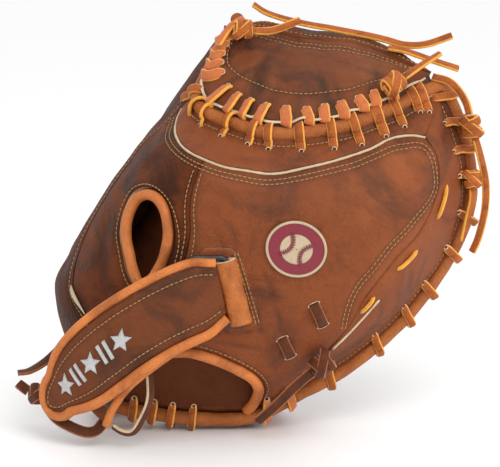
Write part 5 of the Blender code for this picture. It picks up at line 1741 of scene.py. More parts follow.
def build_eyelets(name, rings, holes):
    """The cream rims of a row of laced holes, and the dark discs painted as the shade in their openings."""
    vertices, faces, slots = [], [], []
    count = 0
    for loop in rings:
        path = loop[:-1]
        tangent = unit(np.roll(path, -1, axis=0) - np.roll(path, 1, axis=0))
        out = unit(path - path.mean(axis=0))
        up = np.cross(tangent, out)
        turn = np.arange(8) * math.pi / 4
        ring = path[:, None] + 0.00032 * (np.cos(turn)[None, :, None] * out[:, None] + np.sin(turn)[None, :, None]
            * up[:, None])
        vertices.append(ring.reshape(-1, 3))
        n, k = len(path), 8
        for i in range(n):
            j = (i + 1) % n
            for m in range(k):
                p = (m + 1) % k
                faces.append([count + i * k + m, count + i * k + p, count + j * k + p, count + j * k + m])
                slots.append(0)
        count += n * k
    for centre, side, up, radius in holes:
        vertices.append(circle(centre, side, up, radius, np.arange(20) * math.pi / 10))
        faces.append(list(range(count, count + 20)))
        slots.append(1)
        count += 20
    piece = make_mesh(name, np.concatenate(vertices), faces, finishes("raw_edge", "hole"), slots)
    settle(piece, "cream_piping")


def build_web_lacing():
    """The straps that lace the web to the rolled edge, from both sides, and their holes."""
    low = np.stack([WEB.place(0.0, u) for u in np.linspace(0, 1, 241)])
    base = part_of_rim(*WEB_SIDE, 241)
    web_side, back_side = Ribbons(), Ribbons()
    rings, holes = [], []
    for k, (t, u) in enumerate(WEB_HOLES):
        hole = web_place(t, u)
        near = int(np.argmin(np.linalg.norm(low - hole, axis=1)))
        if k < 2:
            near = int(round(0.6 * near + 0.4 * (u * 240 - 6)))
        near = int(np.clip(near + 2 * math.sin(k * 2.1), 3, 237))
        u_low = near / 240.0
        tangent = unit(base[near + 2] - base[near - 2])
        outward = np.array((-tangent[1], tangent[0]))
        steps = np.array([0.0, 0.10, 0.35, 0.65, 0.92])
        lifts = np.array([-0.0018, 0.0007, 0.0015, 0.0016, 0.0018])
        points = [web_place(t * (1 - s), u + (u_low - u) * s, lift) for s, lift in zip(steps, lifts)]
        gap = base[near] + outward * 0.0055 / MITT_LENGTH
        height = roll_height(gap[0], gap[1])
        points.append(on_sheet(gap[0], gap[1], height - 0.0030))
        points.append(on_sheet(gap[0], gap[1], height + 0.0008))
        path = smooth_line(np.array(points), 26)
        side = unit(low[near + 2] - low[near - 2])
        wide = sizes().strap_width * (1.26 + 0.08 * math.sin(k * 1.7))
        web_side.add(path, strap_faces(path, side, WEB.out(t, u), 0.42), wide, LACING_THICK, bow=0.0003, taper=0.12)
        eyelet(rings, holes, web_place(t, u, SEWN_LIFT), WEB.out(t, u), sizes().hole_radius)
    for k, hole in enumerate(BACK_HOLES):
        hole = np.array(hole)
        near = int(np.clip(np.argmin(np.linalg.norm(base - hole, axis=1)), 3, 237))
        tangent = unit(base[near + 2] - base[near - 2])
        outward = np.array((-tangent[1], tangent[0]))
        points = [back_place(*hole, -0.0016)]
        step = base[near] - hole
        points.append(back_place(*(hole + step * 0.16), 0.0011))
        far = np.linalg.norm(step) * MITT_LENGTH
        points.append(back_place(*(hole + step * (1 - 0.0052 / far)), 0.0022))
        roll = float(roll_height(*base[near]))
        for reach, high in ((0.0040, -0.0052), (0.0008, -0.0063), (-0.0030, -0.0052), (-0.0052, -0.0020),
                (-0.0055, 0.0020)):
            spot = base[near] - outward * reach / MITT_LENGTH
            points.append(on_sheet(spot[0], spot[1], roll + high))
        path = smooth_line(np.array(points), 30)
        ends = on_sheet(base[near - 2:near + 3:4, 0], base[near - 2:near + 3:4, 1], roll)
        side = unit(ends[1] - ends[0])
        out = back_normal(hole[0], hole[1])
        wide = sizes().strap_width * (1.06 + 0.07 * math.sin(k * 2.3))
        worn = 0.25 + 0.2 * math.sin(k * 1.3)
        back_side.add(path, strap_faces(path, side, out, 0.40), wide, LACING_THICK, bow=0.0003, taper=0.16,
            marks=np.full(len(path), worn))
        eyelet(rings, holes, back_place(*(hole - step * 0.03), SEWN_LIFT), out, sizes().hole_radius)
    tail = smooth_line(((-0.2556, 0.8145, 0.2027), (-0.2721, 0.7864, 0.1793), (-0.2755, 0.7411, 0.1527)), 24)
    path = stand_line(tail)
    web_side.add(path, lace_normals(path, (-0.5, -0.8, 0.3), 0.4), sizes().lace_width, sizes().lace_thickness,
        bow=0.0003)
    piece = web_side.build("web_side_straps", finishes("lace", "lace_edge", "lace_grain"))
    settle(piece, "lace_leather")
    piece = back_side.build("back_side_straps", finishes("lace_grain", "lace_edge", "lace"))
    settle(piece, "lace_leather")
    build_eyelets("web_lacing_holes", rings, holes)


def build_edge_loops():
    """The lacing that holds the palm to the back, looped over the rolled edge all round."""
    place, out, _, _ = PALM
    fine = paired_line(RIM_TABLE, RIM_STEPS, closed=True)
    fine = np.vstack([fine, fine[:1]])
    run = run_of(fine)
    spots = [np.interp(i * RIM_STEPS, np.arange(len(run)), run) for i in EDGE_LOOPS]
    total = run[-1]
    spots = list(np.arange(run[7], spots[0] - 0.04, LOOP_PITCH)) + spots
    spots += list(np.arange(spots[-1] + LOOP_PITCH, run[300] - 0.02, LOOP_PITCH))
    loops = Ribbons()
    rings, holes = [], []
    for k, spot in enumerate(spots):
        centre, ahead = read_at(fine, run, (spot, spot + 0.006))
        tangent = unit(ahead - centre)
        inward = np.array((tangent[1], -tangent[0]))
        lean = tangent * (0.016 * smooth_step((centre[0] - 0.02) / 0.2) + 0.003 * math.sin(k * 1.9))
        points = []
        for reach, lift, part in ((0.0122, -0.0014, 1.0), (0.0106, 0.0010, 0.90), (0.0078, 0.0020, 0.72)):
            spot_in = centre + inward * reach / MITT_LENGTH - lean * part
            points.append(back_place(*spot_in, lift))
        roll = float(roll_height(*centre))
        for reach, high, part in ((0.0048, -0.0048, 0.52), (0.0010, -0.0064, 0.26), (-0.0032, -0.0052, 0.0),
                (-0.0056, -0.0008, -0.18)):
            flat = centre + inward * reach / MITT_LENGTH - lean * part
            points.append(on_sheet(flat[0], flat[1], roll + high))
        column = (spot + 0.3 * np.dot(lean, tangent)) / total * place.shape[1]
        c = int(column) % place.shape[1]
        for ring, lift in ((7.9, 0.0012), (8.5, 0.0013), (9.1, 0.0013), (9.7, 0.0012), (10.1, -0.0015)):
            r = int(round(ring * PALM_STEPS))
            points.append(place[r, c] + out[r, c] * lift)
        path = smooth_line(np.array(points), 44)
        ends = on_sheet(*np.transpose([centre, ahead]), roll)
        side = unit(ends[1] - ends[0])
        normals = strap_faces(path, side, np.array(path[len(path) // 2] - on_sheet(*centre, 0.004)), 0.40)
        worn = np.full(len(path), 0.2 + 0.2 * math.sin(k * 2.3))
        loops.add(path, normals, sizes().strap_width * (0.96 + 0.06 * math.sin(k * 1.4)), 0.0021, bow=0.0003,
            taper=0.3, marks=worn)
        hole = centre + inward * 0.0122 / MITT_LENGTH - lean
        eyelet(rings, holes, back_place(*hole, SEWN_LIFT), back_normal(*hole), sizes().hole_radius)
        r = int(round(10.15 * PALM_STEPS))
        eyelet(rings, holes, place[r, c] + out[r, c] * 0.0002, out[r, c], sizes().hole_radius)
    piece = loops.build("edge_loops", finishes("lace_grain", "lace_edge", "lace"))
    settle(piece, "lace_leather")
    build_eyelets("edge_holes", rings, holes)


# The two slit straps beside the patch and the three lace passes through the band, each from place to place.
THUMB_STRAPS = (((0.165, 0.388), (0.204, 0.358)), ((0.150, 0.287), (0.187, 0.260)))
BAND_LACES = (
    ((0.266, 0.458), (0.262, 0.424)), ((0.290, 0.590), (0.277, 0.546)), ((0.290, 0.738), (0.298, 0.682)),
)


def lay_pass(ribbons, a, b, shares, lifts, count, width, thick):
    """A short strap laid on the back from a to b; it returns the way out of the back and the strap's side."""
    points = [back_place(*(a + (b - a) * s), lift) for s, lift in zip(shares, lifts)]
    path = smooth_line(np.array(points), count)
    out = back_normal(*a)
    side = unit(np.cross(points[-1] - points[0], out))
    ribbons.add(path, strap_faces(path, side, out), width, thick, bow=0.0004)
    return out, side


def build_thumb_straps():
    """The two short thumb straps with their slits, and the lace that shows through the band."""
    loops, ends = Ribbons(), Ribbons()
    rings, holes = [], []
    turn = np.linspace(0, 2 * math.pi, 25)[:-1, None]
    for a, b in np.array(THUMB_STRAPS):
        out, side = lay_pass(loops, a, b, (-0.02, 0.06, 0.30, 0.62, 0.92, 1.04), (-0.0018, 0.0009, 0.0024, 0.0026,
            0.0012, -0.0018), 30, 0.0074, 0.0018)
        across = np.cross(out, side)
        for centre in (a - (b - a) * 0.02, b + (b - a) * 0.04):
            lip = back_place(*centre, 0.0003) + side * 0.0041 * np.cos(turn) + across * 0.0013 * np.sin(turn)
            rings.append(np.concatenate([lip, lip[:1]]))
            # A dark disc in each slit is painted shade.
            holes.append((back_place(*centre, 0.00015), side * 2.2, across * 0.62, 0.0020))
    settle(loops.build("thumb_straps", finishes("dark_lace", "tan_edge", "flesh")), "brown_leather")
    for a, b in np.array(BAND_LACES):
        lay_pass(ends, a, b, (-0.10, 0.04, 0.30, 0.70, 0.96, 1.10), (-0.0014, 0.0008, 0.0016, 0.0016, 0.0008,
            -0.0014), 24, 0.0026, 0.0022)
    line = smooth_line(((0.281, 0.462), (0.276, 0.420), (0.270, 0.370), (0.262, 0.314)), 60)
    path = back_place(line[:, 0], line[:, 1], 0.0004)
    settle(tube_mesh("band_raw_edge", path, 0.0008, finishes("raw_edge"), 8), "cream_piping")
    settle(ends.build("band_lace", finishes("lace_edge", "lace_edge", "lace")), "lace_leather")
    build_eyelets("thumb_slits", rings, holes)


def build_back_stitching():
    """Every row of stitches sewn on the back's panels."""
    work = Stitches()
    for line in SEWN.values():
        place, out = back_line(smooth_line(line, max(60, len(line))), SEWN_LIFT)
        work.along(place, out)
    settle(work.build("back_stitching", MATERIALS["stitch"]), "brown_leather")
    place, _ = back_line(smooth_line(smooth_line(FINGER_EDGE_LINE, 80)[0:10], 40), 0.0012)
    thick = 0.0004 + 0.0010 * np.sin(math.pi * np.linspace(0.0, 1.0, 40) ** 1.4)
    settle(tube_mesh("finger_raw_edge", place, thick, finishes("cream"), 8), "brown_leather")


def eased(points):
    """A line of places with its small bumps smoothed out."""
    points = np.asarray(points, float)
    t = np.linspace(-1.0, 1.0, len(points))
    return np.stack([np.polyval(np.polyfit(t, points[:, k], 4), t) for k in range(points.shape[1])], axis=-1)


def lead_in(points):
    """A strap's edge, smoothed and carried on under the keeper."""
    line = eased(points)
    return np.vstack([line[0] + (line[0] - line[1]) * 0.45, line])


# How far the strap's round tip reaches past its straight sides, as a share of the mitt's length.
STRAP_TIP = 0.055


def strap_surface():
    """The strap's upper layer as a grid of places, from the ring to its round tip."""
    share = (STRAP_BINDING_RADIUS + GAP) / MITT_LENGTH
    top = smooth_line(lead_in(STRAP_TOP), 157)
    bottom = smooth_line(lead_in(STRAP_BOTTOM), 157)
    ahead = unit(top[-1] + bottom[-1] - top[-9] - bottom[-9])
    width = np.linalg.norm(top - bottom, axis=1)[:, None]
    a = top + (bottom - top) * share * 1.15 / width
    b = bottom + (top - bottom) * share * 1.15 / width
    t = np.linspace(0.0, 1.0, 25)[:, None]
    grid = []
    for k in np.linspace(0.0, 156, 100):
        i = min(int(k), 155)
        p, q = a[i] + (a[i + 1] - a[i]) * (k - i), b[i] + (b[i + 1] - b[i]) * (k - i)
        grid.append((1 - t) * p + t * q)
    half, centre = 0.5 * (a[-1] - b[-1]), 0.5 * (a[-1] + b[-1])
    for turn in np.linspace(0.05, 0.95, 15):
        reach = (STRAP_TIP - share * 1.1) * math.sin(turn * math.pi / 2)
        size = math.cos(turn * math.pi / 2 * 0.96)
        grid.append(centre + half * (1.0 - 2.0 * t) * size + ahead * reach)
    return stand_line(np.array(grid))


def strap_loop():
    """The line of the strap's binding, all round it."""
    top = smooth_line(lead_in(STRAP_TOP), 40)
    bottom = smooth_line(lead_in(STRAP_BOTTOM), 40)
    middle = 0.5 * (top[-1] + bottom[-1])
    ahead = unit((top[-1] + bottom[-1] - top[-3] - bottom[-3]) / 4)
    half = 0.5 * (top[-1] - bottom[-1])
    tip = [middle + half * math.cos(turn) + ahead * STRAP_TIP * math.sin(turn) for turn in np.linspace(0, math.pi,
        9)[1:-1]]
    return stand_line(smooth_line(np.vstack([top, np.array(tip), bottom[::-1]]), 300))


def build_strap_face():
    """The wrist strap's upper layer with its bound edge, its stitching and a row of stars."""
    grid = strap_surface()
    normal = towards_back(grid_normal(grid))
    rows, cols = grid.shape[:2]
    t = np.linspace(0.0, 1.0, cols)[None, :]
    v = np.linspace(0.0, 1.0, rows)[:, None]
    crown = 0.0011 * np.sin(math.pi * t) ** 0.6 * np.ones((rows, 1))
    seam = np.exp(-(((np.abs(t - 0.5) - 0.37) / 0.035) ** 2)) * np.ones((rows, 1))
    uneven = 0.0004 * waves(v * 0.5, t * 0.16, 0.10, 17)
    face = grid + normal * (STRAP_THICK / 2 + crown - 0.0005 * seam + uneven)[..., None]
    inside = grid - normal * STRAP_THICK / 2
    # Painted shade along the stitch grooves and at the edges next to the binding.
    shade_and_wear = np.clip(0.75 * seam + 0.5 * np.clip(np.abs(t - 0.5) * 2 - 0.75, 0, 1) * 3, 0.0, 1.0)
    skins = finishes("strap", "tan_edge", "flesh")
    settle(wall_mesh("strap_face", face, inside, skins, shade_and_wear), "brown_leather", "strap_panel")
    path = strap_loop()
    size = STRAP_BINDING_RADIUS * (1.14 + 0.03 * waves_on(path, 0.012, 8))
    size = size * (1.0 + 0.20 * smooth_step((np.arange(300) - 130) / 60.0))
    worn = np.clip(0.2 + 0.4 * waves_on(path, 0.03, 3), 0, 1)
    piece = tube_mesh("strap_piping", path, size, finishes("orange"), 18, marks=worn)
    settle(piece, "orange_leather", "strap_binding")

    skin = Skin(face)
    if np.dot(skin.normal[50, 12], normal[50, 12]) < 0:
        skin.normal = -skin.normal
    work = Stitches()
    edge = [(s, 0.13) for s in np.linspace(0.02, 0.86, 120)]
    edge += [(0.86 + 0.10 * math.sin(a), 0.5 - 0.37 * math.cos(a)) for a in np.linspace(0.05, math.pi - 0.05, 40)]
    edge += [(s, 0.87) for s in np.linspace(0.86, 0.02, 120)]
    edge = np.array(edge)
    work.along(skin.place(edge[:, 0], edge[:, 1], SEWN_LIFT), skin.out(edge[:, 0], edge[:, 1]))
    settle(work.build("strap_stitching", MATERIALS["stitch"]), "brown_leather")

    vertices, faces = [], []
    count = 0
    length = float(run_of(skin.grid[:, 12])[-1])
    for middle, kind in ((0.46, "star"), (0.545, "bar"), (0.63, "star"), (0.715, "bar"), (0.80, "star")):
        width = float(np.linalg.norm(skin.grid[int(middle * (rows - 1)), 0] - skin.grid[int(middle * (rows - 1)), -1]))
        outline = []
        if kind == "star":
            for k in range(10):
                radius = 0.0078 if k % 2 == 0 else 0.0036
                angle = math.pi / 2 + k * math.pi / 5
                outline.append((radius * math.cos(angle), radius * math.sin(angle)))
            shapes = [outline]
        else:
            shapes = [[(x - 0.0013, -0.0068), (x + 0.0013, -0.0068), (x + 0.0013, 0.0068), (x - 0.0013, 0.0068)]
                for x in (-0.0026, 0.0026)]
        for shape in shapes:
            ring = np.array(smooth_polygon(shape, 6))
            heart = ring.mean(axis=0)
            start = count
            for share, lift in ((1.0, 0.0000), (0.96, 0.0007), (0.72, 0.0011), (0.0, 0.0013)):
                flat = heart + (ring - heart) * share
                if share == 0.0:
                    flat = heart[None]
                vertices.append(skin.place(middle + flat[:, 0] / length, 0.5 + flat[:, 1] / width,
                    np.full(len(flat), lift)))
            n = len(ring)
            for r in range(2):
                for c in range(n):
                    d = (c + 1) % n
                    faces.append([start + r * n + c, start + r * n + d, start + (r + 1) * n + d,
                        start + (r + 1) * n + c])
            for c in range(n):
                faces.append([start + 2 * n + c, start + 2 * n + (c + 1) % n, start + 3 * n])
            faces.append(list(range(start + n - 1, start - 1, -1)))
            count = start + 3 * n + 1
    settle(make_mesh("strap_stars", np.concatenate(vertices), faces, finishes("silver")), "crimson_patch")


def smooth_polygon(corners, per_side):
    """A polygon's outline with points along its sides."""
    out = []
    for k, corner in enumerate(corners):
        following = corners[(k + 1) % len(corners)]
        for s in np.arange(per_side) / per_side:
            out.append((corner[0] + (following[0] - corner[0]) * s, corner[1] + (following[1] - corner[1]) * s))
    return out


def band_between(name, edge_a, edge_b, thick, skins, along_count, across_count, slot, node, crown=0.0):
    """A flat band between two edges given across, along and away, with soft unevenness."""
    a = smooth_line(edge_a, along_count)
    b = smooth_line(edge_b, along_count)
    t = np.linspace(0.0, 1.0, across_count)[None, :, None]
    middle = stand_line((1 - t) * a[:, None] + t * b[:, None])
    normal = towards_back(grid_normal(middle))
    v = np.linspace(0.0, 1.0, along_count)[:, None]
    rise = crown * np.sin(math.pi * t[..., 0]) + 0.0003 * waves(v * 0.5, t[..., 0] * 0.15, 0.09, 3)
    outside = middle + normal * (thick / 2 + rise)[..., None]
    inside = middle - normal * thick / 2
    outside = rounded(outside, inside)
    return settle(wall_mesh(name, outside, inside, skins, np.zeros(outside.shape[:2])), slot, node)


def build_strap_under():
    """The strap's under layer and its closure."""
    top, bottom = smooth_line(STRAP_TOP, 40), smooth_line(STRAP_BOTTOM, 40)
    lower_top = under_strap(smooth_line(STRAP_LOWER_TOP, 20), top, bottom)
    lower_bottom = under_strap(smooth_line(STRAP_LOWER_BOTTOM, 20), top, bottom)
    skins = finishes("strap", "tan_edge", "flesh")
    band_between("strap_under_layer", lower_top, lower_bottom, STRAP_THICK, skins, 70, 18, "brown_leather",
        "strap_lower", 0.0003)
    edge = smooth_line(lower_bottom, 120)
    edge = stand_line(edge[14:]) + np.array((0.0, -0.0008, 0.0))
    size = 0.0029 * (1.0 + 0.04 * waves_on(edge, 0.012, 8))
    settle(tube_mesh("under_piping", edge, size, finishes("orange"), 14), "orange_leather")
    lift = (STRAP_THICK / 2 + CLOSURE_THICK / 2 + GAP) / MITT_LENGTH
    up = unit((-0.15, 0.0, -1.0)) * lift
    a, b = lower_top[8:18], lower_bottom[8:18]
    skins = finishes("hook", "hook", "hook")
    band_between("hook_tape", a * 0.88 + b * 0.12 + up, a * 0.12 + b * 0.88 + up, CLOSURE_THICK, skins, 40, 12,
        "black_closure", "strap_closure")


def build_ring_and_keeper():
    """The strap's ring, the leather keeper round it and the leather tab sewn under it."""
    start, stop = np.array(RING_RIGHT[0]), np.array(RING_RIGHT[1])
    wide = np.array([RING_WIDTH[0], RING_WIDTH[1], 0.0])
    loop = []
    for p, q in ((start, stop), (stop, stop + wide), (stop + wide, start + wide), (start + wide, start)):
        step = q - p
        cut = min(0.16, 0.30 * np.linalg.norm(step) / 0.05) * 0.05 / np.linalg.norm(step)
        loop += [p + step * cut, p + step * 0.5, q - step * cut]
    loop = smooth_line(smooth_line(loop, 28, closed=True), 140, closed=True)
    ring = tube_mesh("moulded_ring", stand_line(loop), RING_RADIUS, finishes("black"), 16, closed=True)
    settle(ring, "black_plastic", "strap_ring")

    a, b = stand(*(start + (stop - start) * 0.03)), stand(*(start + (stop - start) * 0.98))
    axis = unit(b - a)
    side = unit(np.cross(axis, (0.0, 1.0, 0.0)))
    up = np.cross(axis, side)
    turn = np.arange(56) * 2 * math.pi / 56
    side = side if side[0] > 0 else -side
    shape = np.cos(turn)[:, None] * side * 1.22 + np.sin(turn)[:, None] * up
    share = np.linspace(0.0, 1.0, 44)
    outer = a + (b - a) * share[:, None] - side * 0.0009
    inner_radius = KEEPER_RADIUS - KEEPER_WALL
    bulge = KEEPER_RADIUS * (1.0 - 0.035 * (2 * share - 1) ** 2) + 0.00018 * waves(share * 0.034, share * 0, 0.006, 2)
    out_grid = outer[:, None] + bulge[:, None, None] * shape[None]
    in_grid = outer[:, None] + inner_radius * shape[None]
    shade_and_wear = np.clip(0.2 + 0.5 * waves(out_grid[..., 0], out_grid[..., 2], 0.012, 3), 0, 1)
    skins = finishes("keeper", "raw_edge", "flesh")
    keeper = wall_mesh("leather_keeper", out_grid, in_grid, skins, shade_and_wear, wrap=True)
    settle(keeper, "brown_leather", "strap_keeper")

    line = np.array([start[:2], stop[:2]])
    ahead = unit(line[1] - line[0])
    across = np.array((-ahead[1], ahead[0]))
    if across[0] < 0:
        across = -across
    centre = line.mean(axis=0) - across * 0.012
    turn = np.arange(96) * 2 * math.pi / 96
    rings = []
    for part in np.linspace(0.03, 1.0, 16):
        x = 0.095 * part * np.sign(np.cos(turn)) * np.abs(np.cos(turn)) ** 0.55
        y = 0.042 * part * np.sign(np.sin(turn)) * np.abs(np.sin(turn)) ** 0.62
        rings.append(centre + x[:, None] * ahead + y[:, None] * across)
    dress_panel("keeper_tab", np.array(rings), "back", edge="raw_edge", wrap=True, lift=0.0017, replaced=False,
        wall=0.0014)
    work = Stitches()
    for reach in (0.030, 0.037):
        spots = centre + np.linspace(-0.080, 0.080, 40)[:, None] * ahead + reach * across
        work.along(back_place(spots[:, 0], spots[:, 1], 0.0019), back_normal(spots[:, 0], spots[:, 1]))
    settle(work.build("keeper_stitching", MATERIALS["stitch"]), "brown_leather")


def build_round_patch():
    """The embroidered round patch: a crimson field with a cream ball, its seams and a sewn rim."""
    centre = np.array(PATCH_PLACE)

    def at(radius, angle, lift):
        across = centre[0] + radius * np.cos(angle) / MITT_LENGTH
        along = centre[1] + radius * np.sin(angle) / MITT_LENGTH
        return on_sheet(across, along, back_height(across, along) - lift)

    turn = np.arange(120) * 2 * math.pi / 120
    radii = np.concatenate([np.linspace(0.0004, PATCH_RADIUS - 0.0012, 22), [PATCH_RADIUS - 0.0008]])
    top = 0.0022 - 0.0003 * (radii / PATCH_RADIUS) ** 2
    rings = [at(np.full(120, radius), turn, lift) for radius, lift in zip(radii, top)]
    base = [at(np.full(120, radius), turn, 0.0004) for radius in radii]
    skins = finishes("patch", "patch_cream", "patch")
    settle(wall_mesh("patch_field", np.array(rings), np.array(base), skins, wrap=True), "crimson_patch", "round_patch")
    rim = at(np.full(120, PATCH_RADIUS - 0.0011), turn, 0.0019)
    size = 0.00125 + 0.00012 * np.cos(turn * 60)
    settle(tube_mesh("patch_rim", rim, size * 0.72, finishes("patch_cream"), 10, closed=True), "crimson_patch")

    ball = 0.0098
    radii = np.linspace(0.0003, ball, 14)
    rings = [at(np.full(120, r), turn, 0.0026 - 0.0004 * (r / ball) ** 4) for r in radii]
    base = [at(np.full(120, r), turn, 0.0016) for r in radii]
    skins = finishes("patch_cream") * 3
    settle(wall_mesh("patch_ball", np.array(rings), np.array(base), skins, wrap=True), "crimson_patch")
    seams = Stitches(0.00042)

    def sew(start, stop, arch):
        ends = [at(np.hypot(*p), math.atan2(p[1], p[0]), 0.0027) for p in (start, stop)]
        seams.add(*ends, back_normal(*centre), arch=arch)

    for side in (-1.0, 1.0):
        arc = np.linspace(-0.98, 0.98, 12)
        x = side * (ball * 0.86 - ball * 0.52 * np.cos(arc * 1.35))
        y = ball * 0.88 * arc * (1.0 - 0.10 * arc**2)
        for k in range(11):
            middle = np.array([(x[k] + x[k + 1]) / 2, (y[k] + y[k + 1]) / 2])
            step = unit(np.array([x[k + 1] - x[k], y[k + 1] - y[k]]))
            over = np.array((-step[1], step[0]))
            for way in (-1.0, 1.0):
                a = middle + over * way * 0.0015 + step * 0.0006
                b = middle - step * 0.0003
                sew(a, b, 0.0002)
        for k in range(11):
            sew((x[k], y[k]), (x[k + 1], y[k + 1]), 0.0001)
    settle(seams.build("patch_seams", MATERIALS["patch"]), "crimson_patch")


def knot_tails(centre):
    """Directions in which the free laces leave a knot."""
    out = []
    for _, points in CORDS:
        line = stand_line(smooth_line(points, 60))
        for end, inner in ((0, 8), (-1, -9)):
            if np.linalg.norm(line[end] - centre) < 0.004:
                step = line[inner] - line[end]
                out.append(unit(step))
    return out


def build_tied_knots():
    """The lacing's knots: a lace wound twice round itself, with a pass drawn through."""
    for name, spot, radius in KNOTS:
        centre = stand(*spot)
        tails = knot_tails(centre) or [np.array((0.0, -0.3, 1.0))]
        axis = unit(tails[0] + np.array((0.0, 0.0, 0.05)))
        facing = np.array((0.0, -1.0, 0.2))
        facing = unit(facing - axis * np.dot(facing, axis))
        cross = np.cross(axis, facing)
        wraps = Ribbons()
        width = radius * 0.74
        for tilt, slide, size, flat, round_it in ((0.16, -0.38, 0.66, 0.90, 1.0), (-0.14, 0.36, 0.68, 0.90, 1.0),
                (0.95, 0.0, 0.92, 0.80, 0.50)):
            along = axis * math.cos(tilt) + cross * math.sin(tilt)
            over = cross * math.cos(tilt) - axis * math.sin(tilt)
            share = np.linspace(-math.pi * round_it, math.pi * round_it, 48)
            out = np.cos(share)[:, None] * facing * flat + np.sin(share)[:, None] * over
            path = centre + out * radius * size + along * radius * slide
            path = path + along * (np.linspace(-0.12, 0.12, len(path)) * radius)[:, None]
            wraps.add(path, out, width, 0.0022, bow=0.0005)
        stub = np.linspace(-0.85, 0.95, 24)[:, None] * axis * radius + centre
        wraps.add(stub + facing * 0.0006, np.repeat(facing[None], 24, axis=0), width, 0.0026, bow=0.0004)
        for tail in tails[1:]:
            stub = centre + np.linspace(0.0, 1.05, 14)[:, None] * tail * radius
            face = facing - tail * np.dot(facing, tail)
            wraps.add(stub, np.repeat(face[None], 14, axis=0), width, 0.0022, bow=0.0003)
        dark = name.startswith(("heel", "pinky"))
        skins = ["dark_lace", "tan_edge", "flesh"] if dark else ["lace_grain", "lace_edge", "lace"]
        piece = wraps.build(name + "_wraps", finishes(*skins))
        settle(piece, "dark_lace_leather" if dark else "lace_leather", name)


PALM = palm_surface()
WEB = Skin(web_grid(50, 241))


def color_of(name, text, *color):
    return FloatVectorProperty(name=name, description=text, default=srgb(*color), size=3, min=0.0, max=1.0,
        subtype="COLOR")


class MittColors(bpy.types.PropertyGroup):
    """Colours of the mitt's leathers, lacing and thread."""

    brown: color_of("Brown leather", "Middle colour of the tanned leather", 126, 62, 28)
    # The dark colour is the smudges' own tone and also the painted shade in folds, grooves and edges.
    dark: color_of("Dark smudges", "Colour rubbed into folds and edges", 66, 30, 18)
    light: color_of("Pulled leather", "Lighter colour where the leather is stretched", 150, 82, 42)
    orange: color_of("Binding", "Colour of the bound and rolled edges", 206, 120, 60)
    orange_dark: color_of("Binding shade", "Colour of the bindings' smudges", 132, 66, 28)
    lace: color_of("Lace", "Colour of the lace's soft side", 200, 106, 48)
    lace_edge: color_of("Lace edge", "Colour of the lace's cut edges", 242, 166, 44)
    cream: color_of("Cream", "Colour of the piping and the raw edges", 220, 196, 160)
    thread: color_of("Thread", "Colour of the sewing thread", 212, 156, 84)
    crimson: color_of("Patch", "Colour of the patch's field", 150, 12, 44)


class MittSizes(bpy.types.PropertyGroup):
    """Sizes of the lacing and the sewing."""

    lace_width: FloatProperty(name="Free lace width", description="Width of the lacing's loose ends",
                              default=0.0052, min=0.002, max=0.01, unit="LENGTH")
    lace_thickness: FloatProperty(name="Free lace thickness", description="Thickness of the loose ends",
                                  default=0.0023, min=0.001, max=0.004, unit="LENGTH")
    strap_width: FloatProperty(name="Lacing width", description="Width of the laces that hold the web and the edge",
                               default=0.0060, min=0.002, max=0.01, unit="LENGTH")
    hole_radius: FloatProperty(name="Lace hole radius", description="Radius of the holes that the lacing enters",
                               default=0.0015, min=0.0005, max=0.004, unit="LENGTH")
    thread_radius: FloatProperty(name="Thread radius", description="Radius of the sewing thread",
                                 default=0.00036, min=0.0001, max=0.001, unit="LENGTH")
    stitch_pitch: FloatProperty(name="Stitch pitch", description="From one stitch to the next",
                                default=0.0033, min=0.001, max=0.01, unit="LENGTH")
    stitch_length: FloatProperty(name="Stitch length", description="Length of a stitch that shows",
                                 default=0.0027, min=0.001, max=0.01, unit="LENGTH")


def sizes():
    return bpy.context.scene.mitt_sizes


class MittStage(bpy.types.PropertyGroup):
    """The picture's camera and light."""

    elevation: FloatProperty(name="Camera elevation", description="How far the camera looks down",
                             default=math.radians(12.0), subtype="ANGLE")
    distance: FloatProperty(name="Camera distance", description="From the camera to the mitt",
                            default=1.5, min=0.3, unit="LENGTH")
    frame_width: FloatProperty(name="Frame width", description="Width of the picture at the mitt",
                               default=0.33, min=0.05, unit="LENGTH")
    target: FloatVectorProperty(name="Target", description="The point the camera looks at", default=(-0.0042, -0.0358,
        0.1377), size=3, unit="LENGTH")
    key: FloatProperty(name="Key light", description="Power of the large light, in watts", default=10.0, min=0.0)
    fill: FloatProperty(name="Fill light", description="Power of the soft side light, in watts", default=5.0, min=0.0)
    room: FloatProperty(name="Room", description="Brightness of the white room", default=1.0, min=0.0)


def area_light(name, place, aim, size, power):
    data = bpy.data.lights.new(name, "AREA")
    data.shape = "DISK"
    data.size = size
    data.energy = power
    lamp = bpy.data.objects.new(name, data)
    lamp.location = place
    lamp.rotation_euler = (Vector(aim) - Vector(place)).to_track_quat("-Z", "Y").to_euler()
    bpy.context.scene.collection.objects.link(lamp)
    return lamp


